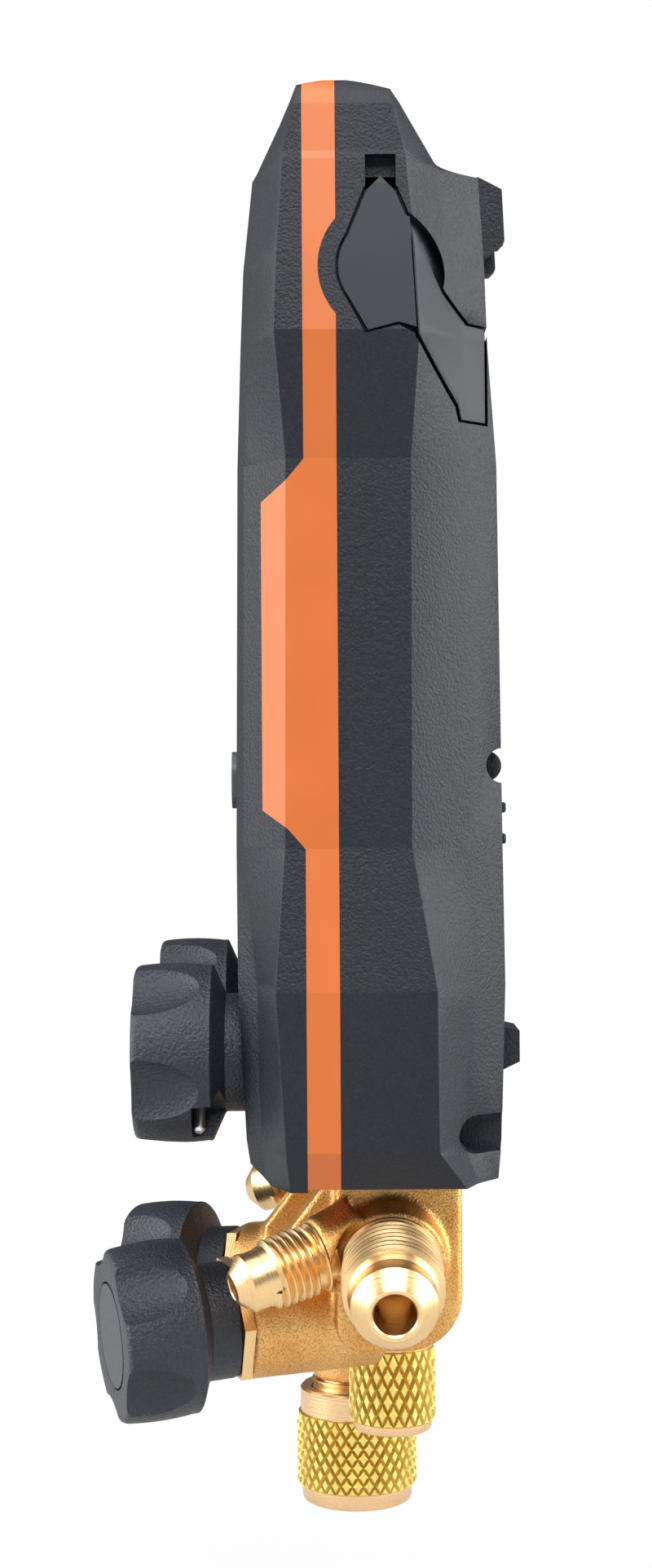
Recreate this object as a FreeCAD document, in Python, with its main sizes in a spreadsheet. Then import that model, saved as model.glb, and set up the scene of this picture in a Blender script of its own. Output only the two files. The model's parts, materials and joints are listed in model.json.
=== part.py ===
import FreeCAD, Part
import os
import re
import Sketcher

# Refrigerant manifold gauge: a moulded casing over a cast brass block with four valves.
# Millimetres. +Z is up, the display faces -Y, the right-hand side is +X.
# The origin is the middle of the bounding box.

doc = FreeCAD.newDocument("ManifoldGauge")
sheet = doc.addObject("Spreadsheet::Sheet", "Sizes")

# Driving dimensions

SIZES = {
    # casing walls, seams and covers
    "wall": 2.6,
    "skin": 1.6,
    "seal_depth": 0.8,
    "seal_width": 1.0,
    "seam_front": 0.0,
    "band_width": 5.0,
    "fit_gap": 0.3,
    # how far across the casing its lengthwise edges lie
    "front_flat_half": 43.0,
    "bevel_half": 46.5,
    "break_half": 50.0,
    "rear_flat_half": 45.0,
    # crown, level by level down to the base
    "crown_z": 117.0,
    "crown_half": 56.7,
    "crown_front": -0.6,
    "crown_bevel": 0.2,
    "crown_crease_front": 0.2,
    "crown_crease_rear": 12.0,
    "crown_break": 12.3,
    "crown_rear": 12.6,
    "step_top_z": 103.2,
    "step_top_half": 57.7,
    "step_top_front": -7.1,
    "step_top_bevel": 0.8,
    "step_top_crease_front": -2.8,
    "step_top_crease_rear": 15.4,
    "step_top_break": 20.2,
    "step_top_rear": 20.9,
    "step_foot_z": 102.0,
    "step_foot_half": 57.9,
    "step_foot_front": -7.8,
    "step_foot_bevel": 0.9,
    "step_foot_crease_front": -2.9,
    "step_foot_crease_rear": 15.6,
    "step_foot_break": 21.0,
    "step_foot_rear": 27.2,
    "brow_z": 88.0,
    "brow_half": 59.1,
    "brow_front": -9.3,
    "brow_bevel": 1.0,
    "brow_crease_front": -3.8,
    "brow_crease_rear": 16.9,
    "brow_break": 22.6,
    "brow_rear": 28.1,
    "shoulder_z": 76.0,
    "shoulder_half": 60.0,
    "shoulder_front": -9.8,
    "shoulder_bevel": 1.0,
    "shoulder_crease_front": -4.3,
    "shoulder_crease_rear": 17.5,
    "shoulder_break": 24.4,
    "shoulder_rear": 28.5,
    "waist_top_z": 57.3,
    "waist_top_half": 56.5,
    "waist_top_front": -10.4,
    "waist_top_bevel": 1.1,
    "waist_top_crease_front": -2.7,
    "waist_top_crease_rear": 16.2,
    "waist_top_break": 24.6,
    "waist_top_rear": 29.8,
    "waist_foot_z": -1.4,
    "waist_foot_half": 56.5,
    "waist_foot_front": -10.9,
    "waist_foot_bevel": 1.2,
    "waist_foot_crease_front": -3.1,
    "waist_foot_crease_rear": 16.0,
    "waist_foot_break": 24.8,
    "waist_foot_rear": 30.4,
    "hip_z": -22.8,
    "hip_half": 59.5,
    "hip_front": -10.8,
    "hip_bevel": 3.0,
    "hip_crease_front": -4.6,
    "hip_crease_rear": 19.6,
    "hip_break": 26.0,
    "hip_rear": 30.7,
    "chin_z": -47.0,
    "chin_half": 58.2,
    "chin_front": -9.6,
    "chin_bevel": 2.4,
    "chin_crease_front": -3.2,
    "chin_crease_rear": 19.8,
    "chin_break": 23.9,
    "chin_rear": 30.0,
    "base_z": -53.4,
    "base_half": 55.0,
    "base_front": -8.6,
    "base_bevel": 2.0,
    "base_crease_front": -2.6,
    "base_crease_rear": 24.4,
    "base_break": 26.2,
    "base_rear": 29.4,
    # roof and floor as the side view shows them
    "roof_apex_y": 5.0,
    "roof_apex_z": 116.3,
    "roof_fall": 0.38,
    "roof_corner": 12.0,
    "roof_spread": 4.0,
    "floor_z": -52.9,
    "floor_front_z": -54.4,
    "floor_bevel_y": -4.4,
    "floor_bevel_rise": 0.8,
    # grip pads on both sides of the band
    "pad_inner_half": 47.0,
    "pad_front": -6.6,
    "pad_shoulder": -2.7,
    "pad_top_z": 57.2,
    "pad_top_shoulder_z": 54.0,
    "pad_top_front_z": 51.3,
    "pad_foot_front_z": 4.3,
    "pad_foot_shoulder_z": 1.6,
    "pad_foot_z": -1.5,
    # rubber covers over the probe sockets
    "cheek_y": 13.3,
    "cheek_z": 85.6,
    "cheek_radius": 11.0,
    "cover_radius": 7.9,
    "cover_neck_half": 2.1,
    "cover_tip_z": 99.2,
    "cover_foot_y": 9.8,
    "cover_foot_z": 75.9,
    "fold_top_y": 16.3,
    "fold_top_z": 91.6,
    "fold_foot_y": 17.2,
    "fold_foot_z": 75.4,
    "strap_bend_y": 23.6,
    "strap_bend_z": 66.0,
    "strap_foot_z": 63.8,
    "strap_top_z": 78.4,
    "strap_top_y": 25.0,
    "strap_end_y": 28.0,
    "nail_slot_y": 11.8,
    "nail_slot_radius": 2.3,
    "nail_slot_top_z": 102.6,
    "nail_slot_depth": 2.2,
    "cover_gap": 0.45,
    "fold_gap": 0.2,
    "fold_relief": 0.9,
    "socket_radius": 5.0,
    "socket_length": 12.0,
    "socket_flange_radius": 5.6,
    "socket_bore_radius": 3.4,
    # display, circuit board and keys
    "window_z": 61.0,
    "window_y": -9.2,
    "window_lean": -2.0,
    "window_half_width": 38.0,
    "window_half_height": 35.0,
    "window_corner": 4.0,
    "window_ledge": 2.0,
    "window_thick": 1.6,
    "panel_thick": 2.4,
    "board_y": -1.8,
    "board_thick": 1.6,
    "board_half_width": 40.0,
    "board_top_z": 99.0,
    "board_foot_z": -12.0,
    "key_z": 9.0,
    "key_pitch": 20.0,
    "key_width": 16.0,
    "key_height": 9.0,
    "key_corner": 4.0,
    "key_proud": 0.9,
    "key_travel": 0.7,
    "key_flange": 1.0,
    "key_flange_thick": 0.9,
    "mat_margin": 2.0,
    "mat_thick": 1.5,
    # batteries and their cover
    "cell_radius": 7.25,
    "cell_length": 50.5,
    "cell_pitch": 15.2,
    "cell_foot_z": 17.0,
    "contact_thick": 0.8,
    "tray_wall": 1.5,
    "latch_y": 30.5,
    "latch_z": 11.0,
    "latch_radius": 2.7,
    "rib_z": 4.2,
    "rib_pitch": 4.9,
    "rib_height": 1.8,
    "rib_proud": 1.0,
    "rib_half_width": 24.0,
    # feet and strap slots on the rear
    "foot_top_z": -30.4,
    "foot_low_z": -36.4,
    "foot_y": 33.1,
    "foot_taper": 1.2,
    "foot_inner": 30.0,
    "foot_outer": 42.0,
    "slot_z": -45.6,
    "slot_radius": 2.95,
    "slot_y": 26.0,
    "slot_inner": 44.0,
    "lug_wall": 1.6,
    # hanging hook
    "hook_y": 30.2,
    "hook_z": 103.0,
    "hook_barrel_radius": 3.0,
    "hook_pin_radius": 1.5,
    "hook_half_width": 9.0,
    "hook_length": 31.5,
    "hook_ring_radius": 12.0,
    "hook_eye_radius": 7.5,
    "hook_mouth": 8.0,
    "hook_thick": 3.0,
    "hook_set_back": 3.2,
    "ear_thick": 4.0,
    "ear_top_z": 109.9,
    "ear_foot_z": 98.2,
    "ear_fall": 2.1,
    "pin_cover": 1.4,
    "ear_y": 33.6,
    # case screws
    "screw_x": 41.2,
    "screw_top_z": 104.0,
    "screw_low_z": -19.5,
    "screw_radius": 1.5,
    "screw_head_radius": 2.8,
    "screw_head_height": 2.0,
    "screw_seat_y": 13.0,
    "screw_depth": 4.0,
    "post_radius": 3.8,
    "seam_gap": 0.05,
    # screws that hold the block to the rear cover
    "block_screw_x": 12.0,
    "block_screw_z": -40.0,
    "block_screw_radius": 2.0,
    "block_screw_depth": 8.0,
    "block_head_radius": 3.8,
    "block_head_height": 2.4,
    "block_seat": 3.2,
    "block_post_radius": 5.6,
    # cast brass block
    "block_front": 4.2,
    "block_rear": 24.1,
    "header_top_z": -24.0,
    "trunk_half": 40.0,
    "trunk_foot_z": -81.0,
    "trunk_corner": 9.0,
    "web_inner": 17.0,
    "web_outer": 24.0,
    "web_top_z": -54.7,
    "web_tip_y": -8.6,
    "web_tip_z": -71.4,
    "gallery_radius": 2.6,
    "gallery_z": -66.5,
    "sensor_x": 20.0,
    "sensor_radius": 8.0,
    "sensor_height": 9.0,
    "sensor_stem_radius": 4.0,
    "sensor_stem_length": 5.0,
    # valves
    "valve_x": 32.0,
    "valve_y": -4.5,
    "valve_z": -34.5,
    "valve_tube_radius": 9.6,
    "service_x": 25.6,
    "service_y": -11.5,
    "service_right_z": -78.3,
    "service_left_z": -82.0,
    "service_splay": 17.0,
    "service_droop": 4.2,
    "service_tube_radius": 10.0,
    "service_tube_root_radius": 10.8,
    "service_tube_length": 22.0,
    "bonnet_thread_radius": 7.0,
    "bonnet_thread_length": 9.0,
    "bonnet_flat": 18.0,
    "bonnet_flange_thick": 1.8,
    "bonnet_neck_radius": 5.8,
    "bonnet_neck_length": 2.6,
    "bonnet_roof": 3.0,
    "chamber_radius": 5.5,
    "spindle_radius": 3.0,
    "spindle_collar_radius": 4.6,
    "spindle_collar_thick": 1.4,
    "spindle_thread_radius": 2.4,
    "spindle_thread_end": 13.0,
    "spindle_reach": 15.0,
    "piston_radius": 5.0,
    "piston_top": 9.6,
    "piston_length": 11.1,
    "piston_tip_length": 2.9,
    "piston_tip_radius": 2.0,
    "piston_travel": 3.0,
    "seat_depth": 21.0,
    "seat_hole_radius": 2.5,
    "running_fit": 0.06,
    "thread_fit": 0.1,
    # knobs
    "knob_gap": 0.3,
    "knob_hub_radius": 9.4,
    "knob_hub_length": 6.5,
    "service_hub_length": 4.8,
    "knob_shoulder": 2.1,
    "knob_lobe_radius": 14.3,
    "knob_depth": 12.4,
    "knob_lobes": 5.0,
    "knob_edge": 1.4,
    "scallop_centre": 17.3,
    "scallop_front_radius": 7.0,
    "scallop_back_radius": 3.4,
    "low_phase": -10.0,
    "high_phase": -10.0,
    "refrigerant_phase": 10.6,
    "vacuum_phase": -8.0,
    "disc_radius": 8.3,
    "disc_thick": 1.2,
    "cross_pin_radius": 0.85,
    "cross_pin_reach": 13.0,
    "cross_pin_tail": 4.5,
    "cross_pin_set_back": 2.3,
    "cross_pin_slot": 2.6,
    # sight glass
    "sight_y": -4.5,
    "sight_tube_radius": 8.2,
    "sight_ring_radius": 9.0,
    "sight_ring_thick": 7.0,
    "sight_glass_radius": 6.4,
    "sight_glass_thick": 3.0,
    "sight_bore_radius": 4.6,
    # flare ports
    "hose_thread_radius": 7.94,
    "hose_thread_length": 12.7,
    "hose_nose_radius": 6.65,
    "hose_nose_length": 2.9,
    "hose_tip_radius": 4.2,
    "hose_bore_radius": 3.3,
    "hose_spigot_length": 6.0,
    "quarter_thread_radius": 5.556,
    "quarter_thread_length": 8.0,
    "quarter_nose_radius": 4.57,
    "quarter_nose_length": 2.4,
    "quarter_tip_radius": 2.4,
    "quarter_bore_radius": 1.9,
    "quarter_spigot_length": 6.0,
    "park_thread_radius": 5.556,
    "park_thread_length": 10.0,
    "park_nose_radius": 4.57,
    "park_nose_length": 2.4,
    "park_tip_radius": 2.4,
    "park_bore_radius": 1.9,
    "park_spigot_length": 0.8,
    "spigot_step": 1.2,
    "side_x": 43.5,
    "side_y": 12.9,
    "side_z": -66.4,
    "side_droop": 14.0,
    "side_boss_radius": 8.6,
    "side_boss_length": 12.0,
    "spot_face_radius": 9.4,
    "park_x": 42.2,
    "park_y": 1.4,
    "park_z": -65.4,
    "park_droop": 16.0,
    "park_splay": 20.0,
    "park_boss_radius": 6.1,
    "park_boss_root_radius": 7.0,
    "park_boss_length": 7.0,
    "refrigerant_x": 4.0,
    "refrigerant_y": 13.8,
    "refrigerant_z": -85.2,
    "refrigerant_neck_radius": 8.4,
    "vacuum_x": -13.3,
    "vacuum_y": 7.9,
    "vacuum_z": -97.2,
    "vacuum_neck_radius": 7.7,
    "vacuum_neck_root_radius": 9.2,
    "vacuum_neck_length": 18.0,
    # knurled caps
    "small_cap_start": 0.6,
    "small_cap_length": 16.4,
    "small_cap_radius": 7.4,
    "small_cap_ring_radius": 6.75,
    "small_cap_collar": 1.9,
    "small_cap_ring": 1.8,
    "large_cap_start": 1.4,
    "large_cap_length": 20.3,
    "large_cap_radius": 10.6,
    "large_cap_ring_radius": 9.7,
    "large_cap_collar": 4.4,
    "large_cap_ring": 3.0,
    "cap_floor": 2.0,
    "cap_round": 0.9,
    "cap_seal_thick": 1.0,
}

for row, (alias, number) in enumerate(SIZES.items(), start=1):
    sheet.set(f"A{row}", alias)
    sheet.set(f"B{row}", str(number))
    sheet.setAlias(f"B{row}", alias)
doc.recompute()


# Helpers


def terms(formula):
    """Turns a formula of size names into an expression on the sheet."""
    return re.sub(r"[a-z][a-z_]*", lambda m: f"Sizes.{m[0]}" if m[0] in SIZES else m[0], str(formula))


def value(formula):
    """The number that a formula of size names gives now."""
    return float(sheet.evalExpression(terms(formula)))


def bind(item, prop, formula):
    """Binds a property to a formula of size names."""
    item.setExpression(prop, terms(formula))


def seat(item, station, along="0"):
    """Places an item on a station: its local +Z leaves the station outwards, at a distance along."""
    x, y, z, yaw, droop = station
    turn = f"rotation(vector(0; 0; 1); {yaw}) * rotation(vector(1; 0; 0); 90 + {droop})"
    shift = f"placement(vector(0; 0; {along}); rotation(vector(0; 0; 1); 0))"
    bind(item, "Placement", f"placement(vector({x}; {y}; {z}); {turn}) * {shift}")
    return item


def body_of(label):
    """An empty body."""
    body = doc.addObject("PartDesign::Body", label)
    body.Label = label
    return body


def sketch_on(body, name, role, shift="0"):
    """A sketch on one of the body's own origin planes, moved along the plane's normal."""
    sketch = body.newObject("Sketcher::SketchObject", name)
    plane = next(f for f in body.Origin.OriginFeatures if f.Role == role)
    sketch.AttachmentSupport = [(plane, "")]
    sketch.MapMode = "FlatFace"
    bind(sketch, ".AttachmentOffset.Base.z", shift)
    return sketch


def polygon(sketch, points):
    """Closes a polygon through points whose coordinates are formulas."""
    spots = [FreeCAD.Vector(value(x), value(y), 0) for x, y in points]
    first = sketch.GeometryCount
    last = len(points)
    for i in range(last):
        sketch.addGeometry(Part.LineSegment(spots[i], spots[(i + 1) % last]), False)
    for i in range(last):
        after = first + (i + 1) % last
        sketch.addConstraint(Sketcher.Constraint("Coincident", first + i, 2, after, 1))
    for i, (x, y) in enumerate(points):
        pin_point(sketch, first + i, 1, x, y)
    return sketch


def pin_point(sketch, edge, end, x, y):
    """Holds one point of an edge at formulas x and y."""
    for kind, formula in (("DistanceX", x), ("DistanceY", y)):
        index = sketch.addConstraint(Sketcher.Constraint(kind, -1, 1, edge, end, value(formula)))
        bind(sketch, f"Constraints[{index}]", formula)


def circle(sketch, x, y, radius):
    """A circle whose centre and radius are formulas."""
    spot = FreeCAD.Vector(value(x), value(y), 0)
    edge = sketch.addGeometry(Part.Circle(spot, FreeCAD.Vector(0, 0, 1), value(radius)), False)
    pin_point(sketch, edge, 3, x, y)
    index = sketch.addConstraint(Sketcher.Constraint("Radius", edge, value(radius)))
    bind(sketch, f"Constraints[{index}]", radius)
    return sketch


def pad(body, sketch, length, both=False):
    """Pads a sketch along its normal, or half each way."""
    feature = body.newObject("PartDesign::Pad", f"{sketch.Name}_pad")
    feature.Profile = sketch
    feature.SideType = "Symmetric" if both else "One side"
    bind(feature, "Length", length)
    return feature


def pocket(body, sketch, length, both=False, flip=False):
    """Cuts a sketch out of a body."""
    feature = body.newObject("PartDesign::Pocket", f"{sketch.Name}_pocket")
    feature.Profile = sketch
    feature.SideType = "Symmetric" if both else "One side"
    feature.Reversed = flip
    bind(feature, "Length", length)
    return feature


def turned(label, profile):
    """A body turned round its Z axis from a profile of (radius, height) formulas."""
    body = body_of(label)
    sketch = polygon(sketch_on(body, f"{label}_profile", "XZ_Plane"), profile)
    feature = body.newObject("PartDesign::Revolution", f"{label}_turned")
    feature.Profile = sketch
    feature.ReferenceAxis = (sketch, ["V_Axis"])
    feature.Angle = 360
    return body


def block(name, low, high):
    """A box between two corners given as formulas."""
    item = doc.addObject("Part::Box", name)
    for axis, size, a, b in zip("xyz", ("Length", "Width", "Height"), low, high):
        bind(item, f"Placement.Base.{axis}", a)
        bind(item, size, f"({b}) - ({a})")
    return item


def plate(name, station, half_wide, half_tall, corner, start, end):
    """A rectangular plate with round corners on a station, from one distance along it to another."""
    body = body_of(name)
    points = [(f"{i} * ({half_wide})", f"{j} * ({half_tall})") for i, j in ((-1, -1), (1, -1), (1, 1), (-1, 1))]
    pad(body, polygon(sketch_on(body, f"{name}_outline", "XY_Plane"), points), f"({end}) - ({start})")
    fillet(body, corner, lambda box: box.XLength < 0.01 and box.YLength < 0.01)
    return seat(body, station, start)


def rod(name, station, radius, start, end):
    """A cylinder on a station from one distance along it to another."""
    item = doc.addObject("Part::Cylinder", name)
    bind(item, "Radius", radius)
    bind(item, "Height", f"({end}) - ({start})")
    return seat(item, station, start)


def taper(name, station, start_radius, end_radius, start, end):
    """A cone frustum on a station from one distance along it to another."""
    item = doc.addObject("Part::Cone", name)
    bind(item, "Radius1", start_radius)
    bind(item, "Radius2", end_radius)
    bind(item, "Height", f"({end}) - ({start})")
    return seat(item, station, start)


def side_prism(name, points, inner, outer, side):
    """A prism of a (Y, Z) outline between two distances from the middle plane, on one side."""
    body = body_of(name)
    start = inner if side > 0 else f"-({outer})"
    sketch = polygon(sketch_on(body, f"{name}_outline", "YZ_Plane", start), points)
    pad(body, sketch, f"({outer}) - ({inner})")
    return body


def fuse(name, items):
    """One solid of several."""
    item = doc.addObject("Part::MultiFuse", name)
    item.Shapes = items
    item.Refine = True
    return item


def common(name, items):
    """What several solids share."""
    item = doc.addObject("Part::MultiCommon", name)
    item.Shapes = items
    item.Behavior = "CommonOfAllShapes"
    return item


def cut(name, base, tools):
    """A solid less one or more tools."""
    item = doc.addObject("Part::Cut", name)
    item.Base = base
    item.Tool = tools[0] if len(tools) == 1 else fuse(f"{name}_tools", tools)
    item.Refine = False
    return item


def fillet(body, radius, chosen):
    """Rounds the edges of a body whose bounding boxes pass a test."""
    doc.recompute()
    base = body.Tip
    edges = [f"Edge{i}" for i, e in enumerate(base.Shape.Edges, start=1) if chosen(e.BoundBox)]
    feature = body.newObject("PartDesign::Fillet", f"{base.Name}_round")
    feature.Base = (base, edges)
    bind(feature, "Radius", radius)
    return feature


def cut_in_turn(name, base, tools):
    """A solid less its tools, one after another."""
    for i, tool in enumerate(tools, start=1):
        base = cut(f"{name}_{i}", base, [tool])
    return base


PARTS = []


def part(item, label):
    """Marks an item as a piece of the product."""
    item.Label = label
    PARTS.append(item)
    return item


SIDES = (("right", 1), ("left", -1))
FAR = "200"

# Casing form: ruled sections from the crown to the base, within a side view and a front view

LEVELS = (
    "base", "chin", "hip", "waist_foot", "waist_top", "shoulder", "brow", "step_foot", "step_top", "crown",
)


def section(level, inset):
    """The twelve corners of the casing at one level, moved in by a wall."""
    lean = f"0.4 * {inset}"
    half = [
        (f"front_flat_half - {lean}", f"{level}_front + {inset}"),
        (f"bevel_half - {lean}", f"{level}_front + {level}_bevel + {inset}"),
        (f"{level}_half - {inset}", f"{level}_crease_front + {lean}"),
        (f"{level}_half - {inset}", f"{level}_crease_rear - {lean}"),
        (f"break_half - 0.8 * {inset}", f"{level}_break - 0.8 * {inset}"),
        (f"rear_flat_half - {lean}", f"{level}_rear - {inset}"),
    ]
    return half + [(f"-({x})", y) for x, y in reversed(half)]


def casing_form(name, inset):
    """The whole casing as one solid, with every face moved in by a wall."""
    hull = body_of(f"{name}_hull")
    sketches = [
        polygon(sketch_on(hull, f"{name}_{level}", "XY_Plane", f"{level}_z"), section(level, inset))
        for level in LEVELS
    ]
    loft = hull.newObject("PartDesign::AdditiveLoft", f"{name}_loft")
    loft.Profile = sketches[0]
    loft.Sections = sketches[1:]
    loft.Ruled = True
    side_view = body_of(f"{name}_side_view")
    reach = "60"
    outline = [
        (f"roof_apex_y - {reach}", f"roof_apex_z - roof_fall * {reach} - {inset}"),
        ("roof_apex_y", f"roof_apex_z - {inset}"),
        (f"roof_apex_y + {reach}", f"roof_apex_z - roof_fall * {reach} - {inset}"),
        (f"roof_apex_y + {reach}", f"floor_z + {inset}"),
        (f"seam_front - {inset}", f"floor_z + {inset}"),
        (f"seam_front - {inset}", f"floor_front_z + {inset}"),
        ("floor_bevel_y", f"floor_front_z + {inset}"),
        (f"floor_bevel_y - {reach}", f"floor_front_z + floor_bevel_rise * {reach} + {inset}"),
    ]
    pad(side_view, polygon(sketch_on(side_view, f"{name}_side", "YZ_Plane"), outline), FAR, both=True)
    front_view = body_of(f"{name}_front_view")
    half = f"step_top_half + roof_spread - {inset}"
    frame = [
        (f"-({half})", "base_z - 5"),
        (half, "base_z - 5"),
        (half, "shoulder_z"),
        (f"step_top_half - {inset}", f"roof_apex_z - {inset}"),
        (f"-(step_top_half - {inset})", f"roof_apex_z - {inset}"),
        (f"-({half})", "shoulder_z"),
    ]
    pad(front_view, polygon(sketch_on(front_view, f"{name}_front", "XZ_Plane"), frame), FAR, both=True)
    top = value("roof_apex_z") - value(inset)
    fillet(front_view, "roof_corner", lambda box: box.ZMin > top - 0.01 and box.XLength < 0.01)
    return common(name, [hull, side_view, front_view])


outer = casing_form("casing_outer", "0")
under_skin = casing_form("casing_under_skin", "skin")
cavity = casing_form("casing_cavity", "wall")
seal_outer = casing_form("casing_seal_outer", "seal_depth")
seal_inner = casing_form("casing_seal_inner", "(seal_depth + seal_width)")
shell = cut("casing_shell", outer, [cavity])
skin_layer = cut("casing_skin_layer", outer, [under_skin])


# How the casing is parted: front cover, grip frame with its pads, rear cover with its cheeks

SEAM_REAR = "(seam_front + band_width)"

front_half = block("front_half", (f"-{FAR}", f"-{FAR}", f"-{FAR}"), (FAR, "seam_front", FAR))
rear_half = block("rear_half", (f"-{FAR}", SEAM_REAR, f"-{FAR}"), (FAR, FAR, FAR))
band_slab = block("band_slab", (f"-{FAR}", "seam_front", f"-{FAR}"), (FAR, SEAM_REAR, FAR))


def pad_outline():
    """The grip pad in the side view, from its foot round its front to its top."""
    return [
        ("seam_front + 1", "pad_foot_z"),
        ("seam_front", "pad_foot_z"),
        ("pad_shoulder", "pad_foot_shoulder_z"),
        ("pad_front", "pad_foot_front_z"),
        ("pad_front", "pad_top_front_z"),
        ("pad_shoulder", "pad_top_shoulder_z"),
        ("seam_front", "pad_top_z"),
        ("seam_front + 1", "pad_top_z"),
    ]


def sideways(side, y, z):
    """A station on the middle plane that points to one side."""
    return ("0", y, z, str(90 * side), "0")


grip_pads = [side_prism(f"grip_pad_{n}", pad_outline(), "pad_inner_half", "80", s) for n, s in SIDES]
cheeks = [
    rod(f"cheek_{n}", sideways(s, "cheek_y", "cheek_z"), "cheek_radius", "break_half - 4", "80") for n, s in SIDES
]

# Block outline that the casing floor and the seal leave free

floor_gap = block(
    "floor_gap",
    ("-(trunk_half + fit_gap)", "block_front - fit_gap", "trunk_foot_z"),
    ("trunk_half + fit_gap", "block_rear + fit_gap", "header_top_z"),
)

# Screw posts: bosses on the front cover, columns on the rear cover

SCREW_SPOTS = (("screw_x", "screw_top_z"), ("screw_x", "screw_low_z"))
CASE_SCREWS = [(f"{s} * {x}", "seam_front", z, "180", "0") for x, z in SCREW_SPOTS for _, s in SIDES]
BLOCK_SCREWS = [(f"{s} * block_screw_x", "block_rear", "block_screw_z", "180", "0") for _, s in SIDES]


def screw_rods(name, radius, start, end, stations=CASE_SCREWS):
    """The same cylinder round every screw of a set, measured rearwards from its station."""
    return [rod(f"{name}_{i}", station, radius, start, end) for i, station in enumerate(stations, start=1)]


# Probe-socket covers: a flap on the side wall that folds at the rear crease, and its strap


def flap_outline(grow, relief):
    """The flap in the side view, without its round cheek, cut back at the foot of its fold."""
    return [
        (f"fold_foot_y - fold_gap * 0.5 + {grow}", f"fold_foot_z - {grow} + {relief}"),
        (f"fold_top_y - fold_gap * 0.5 + {grow}", f"fold_top_z + {grow}"),
        (f"nail_slot_y + cover_neck_half + {grow}", f"cover_tip_z - cover_neck_half + {grow}"),
        ("nail_slot_y", f"cover_tip_z + {grow}"),
        (f"nail_slot_y - cover_neck_half - {grow}", f"cover_tip_z - cover_neck_half + {grow}"),
        (f"cheek_y - cover_radius * 0.82 - {grow}", "cheek_z + cover_radius * 0.57"),
        (f"cheek_y - cover_radius * 0.9 - {grow}", "cheek_z - cover_radius * 0.43"),
        (f"cover_foot_y - {grow}", f"cover_foot_z - {grow}"),
        ("cover_foot_y + 4.6", f"cover_foot_z + 1.2 - {grow}"),
    ]


def strap_outline(grow):
    """The strap in the side view, from the fold round the rear chamfer."""
    return [
        (f"fold_foot_y + fold_gap * 0.5 - {grow}", f"fold_foot_z - {grow}"),
        (f"strap_bend_y - {grow}", f"strap_bend_z - {grow}"),
        (f"strap_bend_y + 0.5 - {grow}", f"strap_foot_z - {grow}"),
        (f"strap_end_y + {grow}", f"strap_foot_z - {grow}"),
        (f"strap_end_y + {grow}", f"strap_top_z + {grow}"),
        (f"strap_top_y + {grow}", f"strap_top_z + {grow}"),
        (f"cheek_y + cover_radius + {grow}", f"cheek_z - cover_radius * 0.4 + {grow}"),
        (f"fold_top_y + fold_gap * 0.5 - {grow}", f"fold_top_z + {grow}"),
    ]


def fold_side(name, side):
    """Everything in front of the fold line of one flap."""
    lead = "30"
    outline = [
        ("fold_foot_y - fold_gap * 0.5 - 40", f"fold_foot_z - {lead}"),
        (f"fold_foot_y - fold_gap * 0.5 + (fold_foot_y - fold_top_y) * {lead} / (fold_top_z - fold_foot_z)",
         f"fold_foot_z - {lead}"),
        (f"fold_top_y - fold_gap * 0.5 - (fold_foot_y - fold_top_y) * {lead} / (fold_top_z - fold_foot_z)",
         f"fold_top_z + {lead}"),
        ("fold_foot_y - fold_gap * 0.5 - 40", f"fold_top_z + {lead}"),
    ]
    return side_prism(name, outline, "break_half - 10", "80", side)


under_cover = casing_form("casing_under_cover", "(skin - cover_gap)")
cover_layer = cut("casing_cover_layer", outer, [under_cover])
recesses = []
for word, side in SIDES:
    aim = sideways(side, "cheek_y", "cheek_z")
    seat_tools = []
    for use, grow, relief in (("cover", "0", "fold_relief"), ("recess", "cover_gap", "0")):
        tongue = side_prism(f"{use}_tongue_{word}", flap_outline(grow, relief), "break_half - 10", "80", side)
        disc = rod(f"{use}_disc_{word}", aim, f"cover_radius + {grow}", "break_half - 10", "80")
        strap = side_prism(f"{use}_strap_{word}", strap_outline(grow), "rear_flat_half - 5", "80", side)
        if use == "cover":
            front_side = fold_side(f"fold_side_{word}", side)
            flap_form = common(f"flap_form_{word}", [fuse(f"flap_prism_{word}", [tongue, disc]), front_side])
            part(common(f"socket_cover_{word}", [cover_layer, flap_form]), f"socket_cover_{word}")
            part(common(f"socket_strap_{word}", [cover_layer, strap]), f"socket_strap_{word}")
        else:
            seat_tools = [tongue, disc, strap]
    recesses.append(common(f"cover_recess_{word}", [skin_layer, fuse(f"recess_prism_{word}", seat_tools)]))

# Grip frame

grip_form = cut("grip_form", fuse("grip_prism", [band_slab] + grip_pads), cheeks)
seal_groove = common(
    "seal_groove",
    [
        cut("seal_ring_form", seal_outer, [seal_inner]),
        block(
            "seal_slab",
            (f"-{FAR}", f"{SEAM_REAR} - seal_width * 0.5", f"-{FAR}"),
            (FAR, f"{SEAM_REAR} + seal_width * 0.5", FAR),
        ),
    ],
)
part(cut("grip_frame", common("grip_band", [shell, grip_form]), [seal_groove, floor_gap] + recesses), "grip_frame")
part(cut("case_seal", seal_groove, [floor_gap] + cheeks), "case_seal")


# Front cover: display window, key holes, valve and sight-glass holes, screw bosses

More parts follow.
